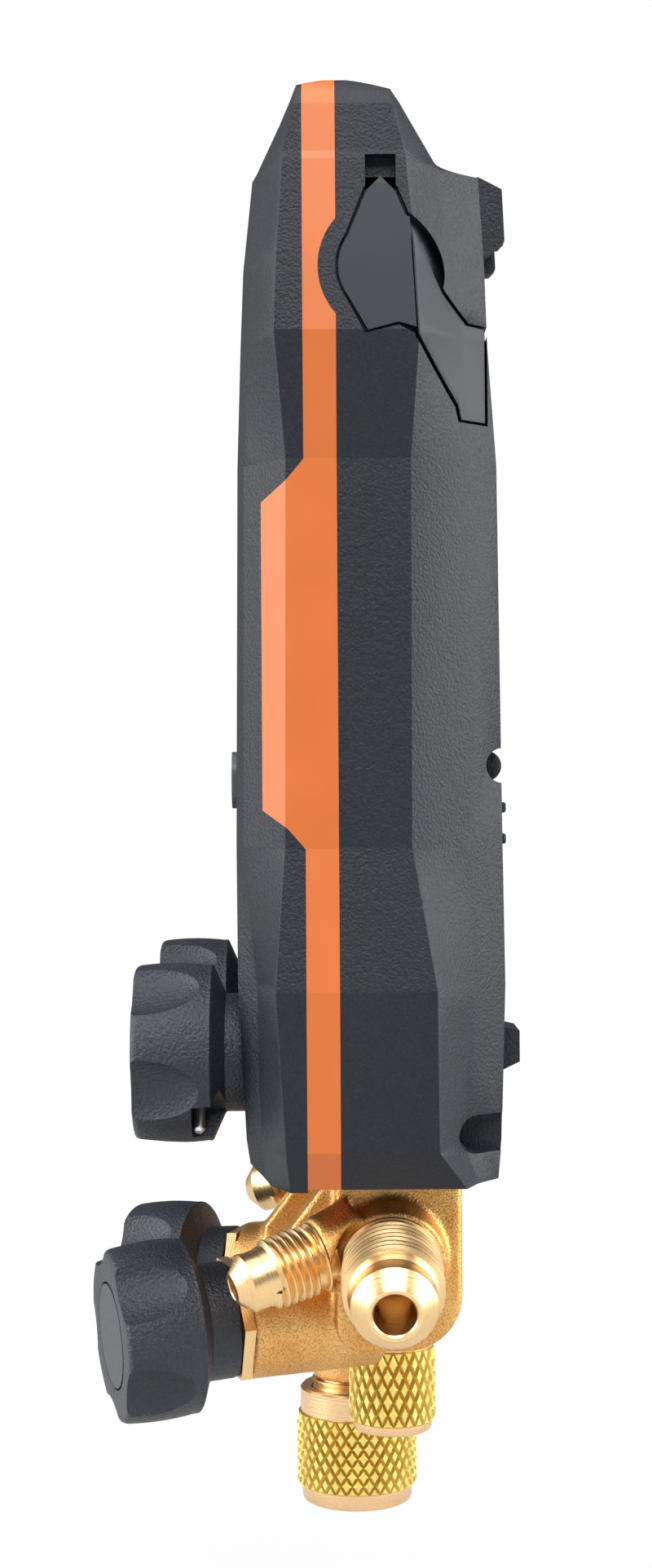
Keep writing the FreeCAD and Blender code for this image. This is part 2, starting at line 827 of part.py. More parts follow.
WINDOW = ("0", "window_y", "window_z", "0", "window_lean")
SIGHT = ("0", "sight_y", "valve_z", "0", "0")
VALVES = {
    "low": ("-valve_x", "valve_y", "valve_z", "0", "0"),
    "high": ("valve_x", "valve_y", "valve_z", "0", "0"),
    "refrigerant": ("service_x", "service_y", "service_right_z", "service_splay", "service_droop"),
    "vacuum": ("-service_x", "service_y", "service_left_z", "-service_splay", "service_droop"),
}
CASE_VALVES = ("low", "high")
KEYS = {
    f"key_{i}": (f"{i - 2.5} * key_pitch", "waist_foot_front", "key_z", "0", "0") for i in (1, 2, 3, 4)
}
KEY_SEAT = "(wall + fit_gap)"

window_frame = plate(
    "window_frame", WINDOW, "window_half_width + window_ledge", "window_half_height + window_ledge",
    "window_corner", "-(window_thick + window_ledge)", "window_ledge",
)
window_seat = plate(
    "window_seat", WINDOW, "window_half_width", "window_half_height", "window_corner",
    "-window_thick", "10",
)
window_view = plate(
    "window_view", WINDOW, "window_half_width - window_ledge", "window_half_height - window_ledge",
    "window_corner", "-10", "10",
)
key_holes = [
    plate(
        f"{name}_hole", station, "key_width * 0.5 + fit_gap", "key_height * 0.5 + fit_gap",
        "key_corner", "-10", "10",
    )
    for name, station in KEYS.items()
]
knob_holes = [rod(f"{name}_hole", VALVES[name], "knob_hub_radius + 2 * fit_gap", "0", "30") for name in CASE_VALVES]
sight_hole = rod("sight_hole", SIGHT, "sight_ring_radius + fit_gap", "0", "30")
front_bosses = common(
    "front_bosses",
    [outer, fuse("front_boss_rods", screw_rods("front_boss", "post_radius", "-30", "0"))],
)
front_shell = cut("front_shell", common("front_band", [shell, front_half]), grip_pads)
front_body = fuse("front_body", [front_shell, common("window_rim", [outer, window_frame]), front_bosses])
part(
    cut(
        "front_cover_cut",
        front_body,
        [window_seat, window_view, sight_hole, floor_gap]
        + key_holes
        + knob_holes
        + screw_rods("front_thread", "screw_radius", "-screw_depth", "1"),
    ),
    "front_cover",
)
part(
    plate(
        "window_pane", WINDOW, "window_half_width - fit_gap * 0.5", "window_half_height - fit_gap * 0.5",
        "window_corner", "-window_thick", "0",
    ),
    "display_window",
)
part(
    plate(
        "panel_plate", WINDOW, "window_half_width", "window_half_height", "1",
        "-(window_thick + window_ledge + panel_thick)", "-(window_thick + window_ledge)",
    ),
    "display_panel",
)

# Main board, key mat and keys

part(
    block(
        "board_plate",
        ("-board_half_width", "board_y", "board_foot_z"),
        ("board_half_width", "board_y + board_thick", "board_top_z"),
    ),
    "main_board",
)
DOME_TOP = f"-({KEY_SEAT} + key_flange_thick + key_travel + fit_gap)"
MAT_FACE = "(waist_foot_front - board_y + mat_thick)"
mat_sheet = plate(
    "mat_sheet", ("0", "waist_foot_front", "key_z", "0", "0"),
    "key_pitch * 1.5 + key_width * 0.5 + mat_margin", "key_height * 0.5 + mat_margin", "mat_margin",
    "waist_foot_front - board_y", MAT_FACE,
)
domes = [
    plate(
        f"{name}_dome", station, "key_width * 0.5 - 1", "key_height * 0.5 - 1", "key_corner - 1",
        MAT_FACE, DOME_TOP,
    )
    for name, station in KEYS.items()
]
part(fuse("key_mat_solid", [mat_sheet] + domes), "key_mat")
for name, station in KEYS.items():
    cap = plate(
        f"{name}_cap", station, "key_width * 0.5", "key_height * 0.5", "key_corner - fit_gap",
        f"-{KEY_SEAT}", "key_proud",
    )
    lip = plate(
        f"{name}_lip", station, "key_width * 0.5 + key_flange", "key_height * 0.5 + key_flange", "key_corner",
        f"-({KEY_SEAT} + key_flange_thick)", f"-{KEY_SEAT}",
    )
    part(fuse(f"{name}_solid", [cap, lip]), name)

# Batteries, their tray and cover

TRAY_HALF = "(cell_pitch * 2 + tray_wall)"
TRAY_FOOT = "(cell_foot_z - contact_thick - fit_gap - tray_wall)"
TRAY_TOP = "(cell_foot_z + cell_length + contact_thick + fit_gap + tray_wall)"
CELL_Y = "(shoulder_rear - wall - fit_gap - cell_radius)"
TRAY_Y = f"({CELL_Y} - cell_radius - fit_gap)"
HATCH_INWARD = "tray_wall * 0.5"


def tray_block(name, inward, start, end):
    """A block of the tray's size in the front view, moved in, between two depths."""
    return block(
        name,
        (f"-({TRAY_HALF} - {inward})", start, f"{TRAY_FOOT} + {inward}"),
        (f"{TRAY_HALF} - {inward}", end, f"{TRAY_TOP} - {inward}"),
    )


tray = cut(
    "battery_tray",
    tray_block("tray_solid", "0", f"{TRAY_Y} - tray_wall", "waist_foot_rear"),
    [tray_block("tray_hollow", "tray_wall", TRAY_Y, "60")],
)
battery_hatch = common("battery_hatch", [shell, tray_block("hatch_prism", HATCH_INWARD, "waist_foot_crease_rear", "60")])
part(
    common("battery_lid", [shell, tray_block("lid_prism", f"({HATCH_INWARD} + fit_gap)", "waist_foot_crease_rear", "60")]),
    "battery_cover",
)
CELL_X = [f"{i} * cell_pitch" for i in (-1.5, -0.5, 0.5, 1.5)]
cells = [
    rod(f"cell_{i}", (x, CELL_Y, "cell_foot_z", "0", "-90"), "cell_radius", "0", "cell_length")
    for i, x in enumerate(CELL_X, start=1)
]
part(fuse("cell_group", cells), "battery_cells")
contacts = [
    block(
        f"contact_{name}",
        (f"-{TRAY_HALF} + tray_wall + fit_gap", f"{TRAY_Y} + fit_gap", low),
        (f"{TRAY_HALF} - tray_wall - fit_gap", f"{CELL_Y} + cell_radius * 0.5", high),
    )
    for name, low, high in (
        ("foot", "cell_foot_z - contact_thick - fit_gap * 0.5", "cell_foot_z - fit_gap * 0.5"),
        ("top", "cell_foot_z + cell_length + fit_gap * 0.5", "cell_foot_z + cell_length + fit_gap * 0.5 + contact_thick"),
    )
]
part(fuse("contact_group", contacts), "battery_contacts")

# Hanging hook, folded into the rear, with its ears and pin

HOOK_TURN = ("0", "hook_y", "hook_z", "90", "0")
RING_Z = "(hook_z - hook_length + hook_ring_radius)"
STRAP_Y = "(hook_y - hook_set_back)"
HOOK_RING = ("0", STRAP_Y, RING_Z, "0", "0")
HALF_THICK = "hook_thick * 0.5"
hook_form = fuse(
    "hook_form",
    [
        rod("hook_ring", HOOK_RING, "hook_ring_radius", f"-{HALF_THICK}", HALF_THICK),
        block(
            "hook_shank",
            ("-hook_half_width", f"{STRAP_Y} - {HALF_THICK}", RING_Z),
            ("hook_half_width", f"{STRAP_Y} + {HALF_THICK}", "hook_z"),
        ),
        rod("hook_barrel", HOOK_TURN, "hook_barrel_radius", "-hook_half_width", "hook_half_width"),
    ],
)
hook_eye = rod("hook_eye", HOOK_RING, "hook_eye_radius", "-10", "10")
hook_mouth = block(
    "hook_mouth",
    ("0", f"{STRAP_Y} - 10", f"{RING_Z} - hook_mouth * 0.5"),
    ("hook_ring_radius * 2", f"{STRAP_Y} + 10", f"{RING_Z} + hook_mouth * 0.5"),
)
PIN_REACH = "(hook_half_width + fit_gap + ear_thick - pin_cover)"
pin_bore = rod("pin_bore", HOOK_TURN, "hook_pin_radius + running_fit", f"-{PIN_REACH}", PIN_REACH)
part(cut("hook_cut", hook_form, [hook_eye, hook_mouth, pin_bore]), "hanging_hook")
EAR_INNER = "(hook_half_width + fit_gap)"
part(
    rod(
        "hook_pin_rod", HOOK_TURN, "hook_pin_radius", f"-{PIN_REACH}", PIN_REACH
    ),
    "hook_pin",
)
EAR_OUTLINE = [
    ("step_top_crease_rear", "ear_foot_z"),
    ("step_top_rear - 2", "hook_z + 2"),
    ("hook_y - 1", "ear_top_z"),
    ("ear_y - 0.4", "ear_top_z - ear_fall"),
    ("ear_y", "ear_foot_z + 1"),
    ("ear_y - 1", "ear_foot_z"),
]
ears = [side_prism(f"ear_{n}", EAR_OUTLINE, EAR_INNER, f"{EAR_INNER} + ear_thick", s) for n, s in SIDES]
hook_bay = block(
    "hook_bay",
    ("-(hook_ring_radius + 2 * fit_gap)", f"{STRAP_Y} - {HALF_THICK} - fit_gap", "hook_z - hook_length - 2 * fit_gap"),
    ("hook_ring_radius + 2 * fit_gap", "60", "ear_foot_z"),
)
hook_notch = block(
    "hook_notch",
    (f"-{EAR_INNER}", f"{STRAP_Y} - {HALF_THICK} - fit_gap", "ear_foot_z - 1"),
    (EAR_INNER, "60", "hook_z + hook_barrel_radius + 1"),
)
hook_bay_wall = block(
    "hook_bay_wall",
    (
        "-(hook_ring_radius + 2 * fit_gap + tray_wall)",
        f"{STRAP_Y} - {HALF_THICK} - fit_gap - tray_wall",
        "hook_z - hook_length - 2 * fit_gap - tray_wall",
    ),
    ("hook_ring_radius + 2 * fit_gap + tray_wall", "60", "step_foot_z"),
)

# Rear cover: feet, ribs, finger slots, posts, tray and hook bay

FOOT_OUTLINE = [
    ("hip_rear - wall", "foot_top_z + foot_taper"),
    ("foot_y", "foot_top_z"),
    ("foot_y", "foot_low_z + foot_taper"),
    ("hip_rear - wall", "foot_low_z - foot_taper"),
]
feet = [side_prism(f"foot_{n}", FOOT_OUTLINE, "foot_inner", "foot_outer", s) for n, s in SIDES]
ribs = [
    block(
        f"latch_rib_{i}",
        ("-rib_half_width", "waist_foot_rear - wall", f"rib_z - {i} * rib_pitch - rib_height * 0.5"),
        ("rib_half_width", "waist_foot_rear + rib_proud", f"rib_z - {i} * rib_pitch + rib_height * 0.5"),
    )
    for i in (0, 1)
]
latch_groove = rod("latch_groove", ("0", "latch_y", "latch_z", "90", "0"), "latch_radius", f"-{FAR}", FAR)
latch_backing = block(
    "latch_backing",
    ("-rear_flat_half", "latch_y - latch_radius - wall", "latch_z - latch_radius - wall"),
    ("rear_flat_half", "waist_foot_rear - wall * 0.5", "latch_z + latch_radius + 0.5"),
)
lugs = []
slots = []
for word, side in SIDES:
    lug_points = [
        (f"slot_y - slot_radius - {a} * lug_wall", f"slot_z + {b} * (slot_radius + lug_wall)")
        for a, b in ((1, -1), (1, 1))
    ]
    lug_points += [("slot_y + 10", f"slot_z + {b} * (slot_radius + lug_wall)") for b in (1, -1)]
    lugs.append(side_prism(f"lug_{word}", lug_points, "slot_inner - lug_wall", "80", side))
    slot_points = [(y, f"slot_z + {b} * slot_radius") for y, b in (("slot_y", -1), ("slot_y", 1), ("60", 1), ("60", -1))]
    slots.append(side_prism(f"slot_{word}", slot_points, "slot_inner", "80", side))
    slots.append(rod(f"slot_end_{word}", sideways(side, "slot_y", "slot_z"), "slot_radius", "slot_inner", "80"))

nail_slots = []
socket_holes = []
for word, side in SIDES:
    nail_points = [
        ("nail_slot_y - nail_slot_radius", "cover_tip_z - 4"),
        ("nail_slot_y + nail_slot_radius", "cover_tip_z - 4"),
        ("nail_slot_y + nail_slot_radius", "nail_slot_top_z"),
        ("nail_slot_y - nail_slot_radius", "nail_slot_top_z"),
    ]
    nail_slots.append(side_prism(f"nail_slot_{word}", nail_points, "step_top_half - nail_slot_depth", "80", side))
    socket_holes.append(rod(f"socket_hole_{word}", sideways(side, "cheek_y", "cheek_z"), "socket_radius", "40", "80"))

column_rods = screw_rods("column", "post_radius", "seam_gap", "60")
column_rods += screw_rods("block_post", "block_post_radius", "fit_gap", "30", BLOCK_SCREWS)
columns = common("columns", [outer, fuse("column_rods", column_rods)])
tray_walls = common("tray_walls", [cavity, tray])
rear_inside = common("rear_inside", [outer, fuse("rear_inside_forms", [hook_bay_wall, latch_backing] + lugs)])
rear_form = fuse("rear_form", [rear_half] + cheeks)
rear_body = fuse(
    "rear_body",
    [common("rear_shell", [shell, rear_form]), rear_inside, tray_walls, columns] + ears + feet + ribs,
)
part(
    cut(
        "rear_cover_cut",
        rear_body,
        recesses
        + nail_slots
        + socket_holes
        + slots
        + [battery_hatch, hook_bay, hook_notch, pin_bore, latch_groove, seal_groove, floor_gap]
        + screw_rods("screw_hole", "screw_radius + fit_gap", "-1", "60")
        + screw_rods("screw_well", "screw_head_radius + fit_gap", "screw_seat_y", "60")
        + screw_rods("block_screw_hole", "block_screw_radius + fit_gap", "-1", "30", BLOCK_SCREWS)
        + screw_rods("block_screw_well", "block_head_radius + fit_gap", "block_seat", "30", BLOCK_SCREWS),
    ),
    "rear_cover",
)

# Probe sockets behind the flaps

for word, side in SIDES:
    aim = sideways(side, "cheek_y", "cheek_z")
    face = "(brow_half - skin - fit_gap)"
    barrel = rod(f"socket_barrel_{word}", aim, "socket_radius - fit_gap * 0.5", f"{face} - socket_length", face)
    collar = rod(
        f"socket_collar_{word}", aim, "socket_flange_radius",
        f"{face} - socket_length", f"{face} - socket_length * 0.5",
    )
    bore = rod(f"socket_bore_{word}", aim, "socket_bore_radius", f"{face} - socket_length * 0.5", "80")
    socket = cut(f"socket_cut_{word}", fuse(f"socket_form_{word}", [barrel, collar]), [bore])
    part(common(f"socket_inside_{word}", [socket, under_skin]), f"probe_socket_{word}")

# Case screws

screws = screw_rods("screw_shank", "screw_radius", "-screw_depth + fit_gap", "screw_seat_y")
screws += screw_rods("screw_head", "screw_head_radius", "screw_seat_y", "screw_seat_y + screw_head_height")
part(fuse("screw_group", screws), "case_screws")
block_screws = screw_rods("block_screw_shank", "block_screw_radius", "-block_screw_depth", "block_seat", BLOCK_SCREWS)
block_screws += screw_rods(
    "block_screw_head", "block_head_radius", "block_seat", "block_seat + block_head_height", BLOCK_SCREWS
)
part(fuse("block_screw_group", block_screws), "block_screws")

# Star knobs and their cross pins

KNOB_FOOT = "(bonnet_flange_thick + knob_gap)"


def knob_rim(name):
    """How far along its valve the back rim of a knob's lobes is."""
    hub = "knob_hub_length" if name in CASE_VALVES else "service_hub_length"
    return f"({KNOB_FOOT} + {hub} + knob_shoulder)"


def knob_front(name):
    """How far along its valve a knob's front face is."""
    return f"({knob_rim(name)} + knob_depth)"


def seat_on_pin(item, name, station, shift, turn):
    """Places an item in the frame of a knob's cross pin: X along the pin, Z along the valve."""
    x, y, z, yaw, droop = station
    aim = f"rotation(vector(0; 0; 1); {yaw}) * rotation(vector(1; 0; 0); 90 + {droop})"
    spin = f"rotation(vector(0; 0; 1); {name}_phase - 360 / knob_lobes)"
    along = f"({knob_rim(name)} + cross_pin_set_back)"
    bind(
        item,
        "Placement",
        f"placement(vector({x}; {y}; {z}); {aim}) * placement(vector(0; 0; {along}); {spin})"
        f" * placement(vector({shift}); rotation(vector(0; 1; 0); {turn}))",
    )
    return item


def pin_rod(label, name, station):
    """The cross pin's cylinder, set radially through spindle and lobe."""
    item = doc.addObject("Part::Cylinder", label)
    bind(item, "Radius", "cross_pin_radius")
    bind(item, "Height", "cross_pin_reach + cross_pin_tail")
    return seat_on_pin(item, name, station, "-cross_pin_tail; 0; 0", "90")


def pin_slot(name, station):
    """The slot in the back of a lobe that the cross pin is driven in through."""
    item = doc.addObject("Part::Box", f"{name}_pin_slot")
    bind(item, "Length", "knob_lobe_radius")
    bind(item, "Width", "cross_pin_slot")
    bind(item, "Height", "cross_pin_set_back + knob_shoulder + cross_pin_radius")
    shift = "knob_hub_radius; -cross_pin_slot * 0.5; -(cross_pin_set_back + knob_shoulder)"
    return seat_on_pin(item, name, station, shift, "0")


def knob(name, station):
    """A five-lobed knob: a turned blank with scallops that fade towards its back."""
    front = knob_front(name)
    rim = knob_rim(name)
    shoulder = f"({rim} - knob_shoulder)"
    hub_depth = f"({KNOB_FOOT} + bonnet_neck_length)"
    face = [("0", front)]
    if name not in CASE_VALVES:
        face = [("0", f"{front} - disc_thick"), ("disc_radius", f"{front} - disc_thick"), ("disc_radius", front)]
    body = turned(
        f"{name}_knob_body",
        [
            ("spindle_radius", f"{KNOB_FOOT} + spindle_reach"),
            ("0", f"{KNOB_FOOT} + spindle_reach"),
        ]
        + face
        + [
            ("knob_lobe_radius - knob_edge", front),
            ("knob_lobe_radius", f"{front} - knob_edge"),
            ("knob_lobe_radius", f"{rim} + knob_edge * 0.5"),
            ("knob_lobe_radius - knob_edge * 0.5", rim),
            ("knob_hub_radius", shoulder),
            ("knob_hub_radius", KNOB_FOOT),
            ("bonnet_neck_radius + 4 * fit_gap", KNOB_FOOT),
            ("bonnet_neck_radius + 4 * fit_gap", hub_depth),
            ("spindle_radius", hub_depth),
        ],
    )
    scallop = body.newObject("PartDesign::SubtractiveCone", f"{name}_scallop")
    plane = next(f for f in body.Origin.OriginFeatures if f.Role == "XY_Plane")
    scallop.AttachmentSupport = [(plane, "")]
    scallop.MapMode = "FlatFace"
    angle = f"({name}_phase + 180 / knob_lobes) * 1 deg"
    bind(scallop, ".AttachmentOffset.Base.x", f"scallop_centre * cos({angle})")
    bind(scallop, ".AttachmentOffset.Base.y", f"scallop_centre * sin({angle})")
    bind(scallop, ".AttachmentOffset.Base.z", f"{rim} + knob_edge")
    bind(scallop, "Radius1", "scallop_back_radius")
    bind(scallop, "Radius2", "scallop_front_radius")
    bind(scallop, "Height", f"{front} - {rim} - knob_edge + 0.01")
    pattern = body.newObject("PartDesign::PolarPattern", f"{name}_scallops")
    pattern.Originals = [scallop]
    pattern.Axis = (next(f for f in body.Origin.OriginFeatures if f.Role == "Z_Axis"), [""])
    pattern.Angle = 360
    bind(pattern, "Occurrences", "knob_lobes")
    body.Tip = pattern
    seat(body, station)
    if name not in CASE_VALVES:
        return body
    return cut_in_turn(
        f"{name}_knob_cut", body, [pin_rod(f"{name}_pin_hole", name, station), pin_slot(name, station)]
    )


# Flare ports: every thread is a plain cylinder at its major radius

PORTS = {
    "side_port_right": (("side_x", "side_y", "side_z", "90", "side_droop"), "hose"),
    "side_port_left": (("-side_x", "side_y", "side_z", "-90", "side_droop"), "hose"),
    "hose_park_right": (("park_x", "park_y", "park_z", "park_splay", "park_droop"), "park"),
    "hose_park_left": (("-park_x", "park_y", "park_z", "-park_splay", "park_droop"), "park"),
    "refrigerant_port": (("refrigerant_x", "refrigerant_y", "refrigerant_z", "0", "90"), "quarter"),
    "vacuum_port": (("vacuum_x", "vacuum_y", "vacuum_z", "0", "90"), "hose"),
}


def nose_end(size):
    """How far from its seat a port's straight nose reaches."""
    return f"({size}_thread_length + {size}_nose_length)"


def port_length(size):
    """How far from its seat a port's tip is, with its 45 degree cone."""
    return f"({nose_end(size)} + {size}_nose_radius - {size}_tip_radius)"


for name, (station, size) in PORTS.items():
    spigot = f"{size}_thread_radius - spigot_step"
    port = turned(
        f"{name}_body",
        [
            (f"{size}_bore_radius", f"-{size}_spigot_length"),
            (spigot, f"-{size}_spigot_length"),
            (spigot, "0"),
            (f"{size}_thread_radius", "0"),
            (f"{size}_thread_radius", f"{size}_thread_length - {size}_thread_radius + {size}_nose_radius"),
            (f"{size}_nose_radius", f"{size}_thread_length"),
            (f"{size}_nose_radius", nose_end(size)),
            (f"{size}_tip_radius", port_length(size)),
            (f"{size}_bore_radius", port_length(size)),
        ],
    )
    part(seat(port, station), name)

# Knurled caps on the two lower ports, each with a seal in its floor

CAPS = {"refrigerant_cap": ("refrigerant_port", "small"), "vacuum_cap": ("vacuum_port", "large")}
for name, (port_name, build) in CAPS.items():
    station, size = PORTS[port_name]
    start = f"{build}_cap_start"
    end = f"({start} + {build}_cap_length)"
    seal_face = f"({end} - cap_floor)"
    hollow = f"{size}_thread_radius + thread_fit"
    cap = turned(
        f"{name}_body",
        [
            (hollow, start),
            (f"{build}_cap_ring_radius + 0.3", start),
            (f"{build}_cap_ring_radius + 0.3", f"{start} + {build}_cap_collar"),
            (f"{build}_cap_radius", f"{start} + {build}_cap_collar"),
            (f"{build}_cap_radius", f"{end} - {build}_cap_ring"),
            (f"{build}_cap_ring_radius", f"{end} - {build}_cap_ring"),
            (f"{build}_cap_ring_radius", f"{end} - cap_round"),
            (f"{build}_cap_ring_radius - cap_round", end),
            ("0", end),
            ("0", seal_face),
            (hollow, seal_face),
        ],
    )
    part(seat(cap, station), name)
    part(rod(f"{name}_seal_disc", station, hollow, f"{seal_face} - cap_seal_thick", seal_face), f"{name}_seal")

# Cast brass block: trunk, valve tubes, webs, port bosses and necks, and its bores

trunk = body_of("trunk")
trunk_outline = [
    ("block_front", "trunk_foot_z"),
    ("block_rear", "trunk_foot_z"),
    ("block_rear", "header_top_z"),
    ("block_front", "header_top_z"),
]
pad(trunk, polygon(sketch_on(trunk, "trunk_outline", "YZ_Plane"), trunk_outline), "trunk_half * 2", both=True)
foot = value("trunk_foot_z") + 0.01
rear_face = value("block_rear") - 0.01
fillet(trunk, "trunk_corner", lambda box: box.ZMax < foot and box.YMin > rear_face)
fillet(trunk, "trunk_corner * 0.4", lambda box: box.ZMax < foot and box.YMax < value("block_front") + 0.01)


def splay_x(y):
    """How far from the middle plane the right-hand service valve's axis lies at a depth."""
    return f"(service_x - ({y} - service_y) * tan(service_splay * 1 deg))"


WEB_OUTLINE = [
    ("block_front + 2", "web_top_z"),
    ("block_front", "web_top_z"),
    ("web_tip_y", "web_tip_z"),
    ("web_tip_y", "service_right_z"),
    ("block_front + 2", "service_right_z"),
]
webs = [side_prism(f"web_{n}", WEB_OUTLINE, "web_inner", "web_outer", s) for n, s in SIDES]
solids = [trunk] + webs
bores = []
for name, station in VALVES.items():
    if name in CASE_VALVES:
        solids.append(rod(f"{name}_tube", station, "valve_tube_radius", "-(block_front - valve_y + 1)", "0"))
    else:
        solids.append(
            taper(
                f"{name}_tube", station, "service_tube_root_radius", "service_tube_radius",
                "-service_tube_length", "0",
            )
        )
    bores += [
        rod(f"{name}_thread_bore", station, "bonnet_thread_radius", "-bonnet_thread_length", "1"),
        rod(f"{name}_piston_bore", station, "piston_radius + running_fit", "-seat_depth", "1"),
    ]
solids.append(rod("sight_tube", SIGHT, "sight_tube_radius", "-(block_front - sight_y + 1)", "0"))
bores += [
    rod("sight_well", SIGHT, "sight_glass_radius + running_fit", "-sight_glass_thick", "1"),
    rod("sight_bore", SIGHT, "sight_bore_radius", "-(block_front - sight_y + 6)", "1"),
]
for name, (station, size) in PORTS.items():
    bores += [
        rod(f"{name}_spigot_bore", station, f"{size}_thread_radius - spigot_step", f"-{size}_spigot_length", "1"),
        rod(f"{name}_way", station, f"{size}_bore_radius", f"-({size}_spigot_length + 6)", "1"),
    ]
for side in ("right", "left"):
    solids += [
        rod(f"side_boss_{side}", PORTS[f"side_port_{side}"][0], "side_boss_radius", "-side_boss_length", "0"),
        taper(
            f"park_boss_{side}", PORTS[f"hose_park_{side}"][0], "park_boss_root_radius", "park_boss_radius",
            "-park_boss_length", "0",
        ),
    ]
    bores.append(rod(f"spot_face_{side}", PORTS[f"side_port_{side}"][0], "spot_face_radius", "0", "20"))
solids += [
    rod("refrigerant_neck", PORTS["refrigerant_port"][0], "refrigerant_neck_radius", "-8", "0"),
    taper(
        "vacuum_neck", PORTS["vacuum_port"][0], "vacuum_neck_root_radius", "vacuum_neck_radius",
        "-vacuum_neck_length", "0",
    ),
]
bores.append(rod("gallery", ("0", "side_y", "gallery_z", "90", "0"), "gallery_radius", "-valve_x", "valve_x"))
bores += screw_rods("block_thread", "block_screw_radius", "-(block_screw_depth + 2)", "1", BLOCK_SCREWS)
part(cut_in_turn("block_cut", fuse("block_form", solids), bores), "manifold_block")

# Valves: bonnet, spindle, piston and star knob, all measured along the valve's own axis

for name, station in VALVES.items():
    nut = body_of(f"{name}_bonnet_nut")
    hexagon = [
        (f"bonnet_flat * {i} / sqrt(3)", f"bonnet_flat * 0.5 * {j}")
        for i, j in ((1, 0), (0.5, 1), (-0.5, 1), (-1, 0), (-0.5, -1), (0.5, -1))
    ]
    pad(nut, polygon(sketch_on(nut, f"{name}_hexagon", "XY_Plane"), hexagon), "bonnet_flange_thick")
    seat(nut, station)
    bonnet = fuse(
        f"{name}_bonnet_form",
        [
            nut,
            rod(f"{name}_bonnet_thread", station, "bonnet_thread_radius", "-bonnet_thread_length", "0"),
            rod(
                f"{name}_bonnet_neck", station, "bonnet_neck_radius", "bonnet_flange_thick",
                "bonnet_flange_thick + bonnet_neck_length",
            ),
        ],
    )
    shaft_bore = rod(f"{name}_shaft_bore", station, "spindle_radius + running_fit", "-20", "20")
    chamber = rod(f"{name}_chamber", station, "chamber_radius", "-20", "-bonnet_roof")
    part(cut(f"{name}_bonnet_cut", bonnet, [shaft_bore, chamber]), f"{name}_bonnet")
    collar_top = "-(bonnet_roof + fit_gap)"
    collar_foot = f"({collar_top} - spindle_collar_thick)"
    spindle = turned(
        f"{name}_spindle_body",
        [
            ("0", "-spindle_thread_end"),
            ("spindle_thread_radius", "-spindle_thread_end"),
            ("spindle_thread_radius", collar_foot),
            ("spindle_collar_radius", collar_foot),
            ("spindle_collar_radius", collar_top),
            ("spindle_radius", collar_top),
            ("spindle_radius", f"{KNOB_FOOT} + spindle_reach"),
            ("0", f"{KNOB_FOOT} + spindle_reach"),
        ],
    )
    seat(spindle, station)
    piston = turned(
        f"{name}_piston_body",
        [
            ("0", "-(piston_top + piston_length)"),
            ("piston_tip_radius", "-(piston_top + piston_length)"),
            ("piston_radius", "-(piston_top + piston_length - piston_tip_length)"),
            ("piston_radius", "-piston_top"),
            ("spindle_thread_radius + thread_fit", "-piston_top"),
            ("spindle_thread_radius + thread_fit", "-(spindle_thread_end + piston_travel + fit_gap)"),
            ("0", "-(spindle_thread_end + piston_travel + fit_gap)"),
        ],
    )
    part(seat(piston, station), f"{name}_piston")
    part(knob(name, station), f"{name}_knob")
    if name in CASE_VALVES:
        part(cut(f"{name}_spindle_cut", spindle, [pin_rod(f"{name}_spindle_hole", name, station)]), f"{name}_spindle")
        part(pin_rod(f"{name}_pin_rod", name, station), f"{name}_cross_pin")
    else:
        part(spindle, f"{name}_spindle")
        part(
            rod(f"{name}_disc_plate", station, "disc_radius", f"{knob_front(name)} - disc_thick", knob_front(name)),
            f"{name}_knob_disc",
        )

# Sight glass and its ring

part(rod("sight_lens", SIGHT, "sight_glass_radius", "-sight_glass_thick", "0"), "sight_glass")
ring = turned(
    "sight_ring_body",
    [
        ("sight_bore_radius", "0"),
        ("sight_ring_radius", "0"),
        ("sight_ring_radius", "sight_ring_thick - 1"),
        ("sight_ring_radius - 1", "sight_ring_thick"),
        ("sight_glass_radius", "sight_ring_thick"),
    ],
)
part(seat(ring, SIGHT), "sight_glass_ring")

# Pressure sensors on top of the block

sensors = []
for word, side in SIDES:
    spot = (f"{side} * sensor_x", "(block_front + block_rear) * 0.5", "header_top_z", "0", "-90")
    sensors += [
        rod(f"sensor_can_{word}", spot, "sensor_radius", "0", "sensor_height"),
        rod(f"sensor_stem_{word}", spot, "sensor_stem_radius", "sensor_height", "sensor_height + sensor_stem_length"),
    ]
part(fuse("sensor_group", sensors), "pressure_sensors")

# Check every object, then write the pieces

doc.recompute()
broken = [item.Name for item in doc.Objects if "Invalid" in item.State or "Error" in item.State]
broken += [item.Label for item in PARTS if item.Shape.isNull() or not item.Shape.isValid()]
if broken:
    raise RuntimeError(f"These did not build: {', '.join(broken)}")
os.makedirs("parts", exist_ok=True)
for item in PARTS:
    item.Shape.exportStep(f"parts/{item.Label}.step")
print(f"{len(PARTS)} pieces written")
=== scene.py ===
"""Looks of the refrigerant manifold gauge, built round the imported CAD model.

Metres, in the model's own frame: +Z is up, the display faces -Y and +X is the right-hand side.
"""

import json
import logging
import math
from dataclasses import dataclass
from enum import Enum
from typing import Sequence

import bmesh
import bpy
from mathutils import Matrix, Vector

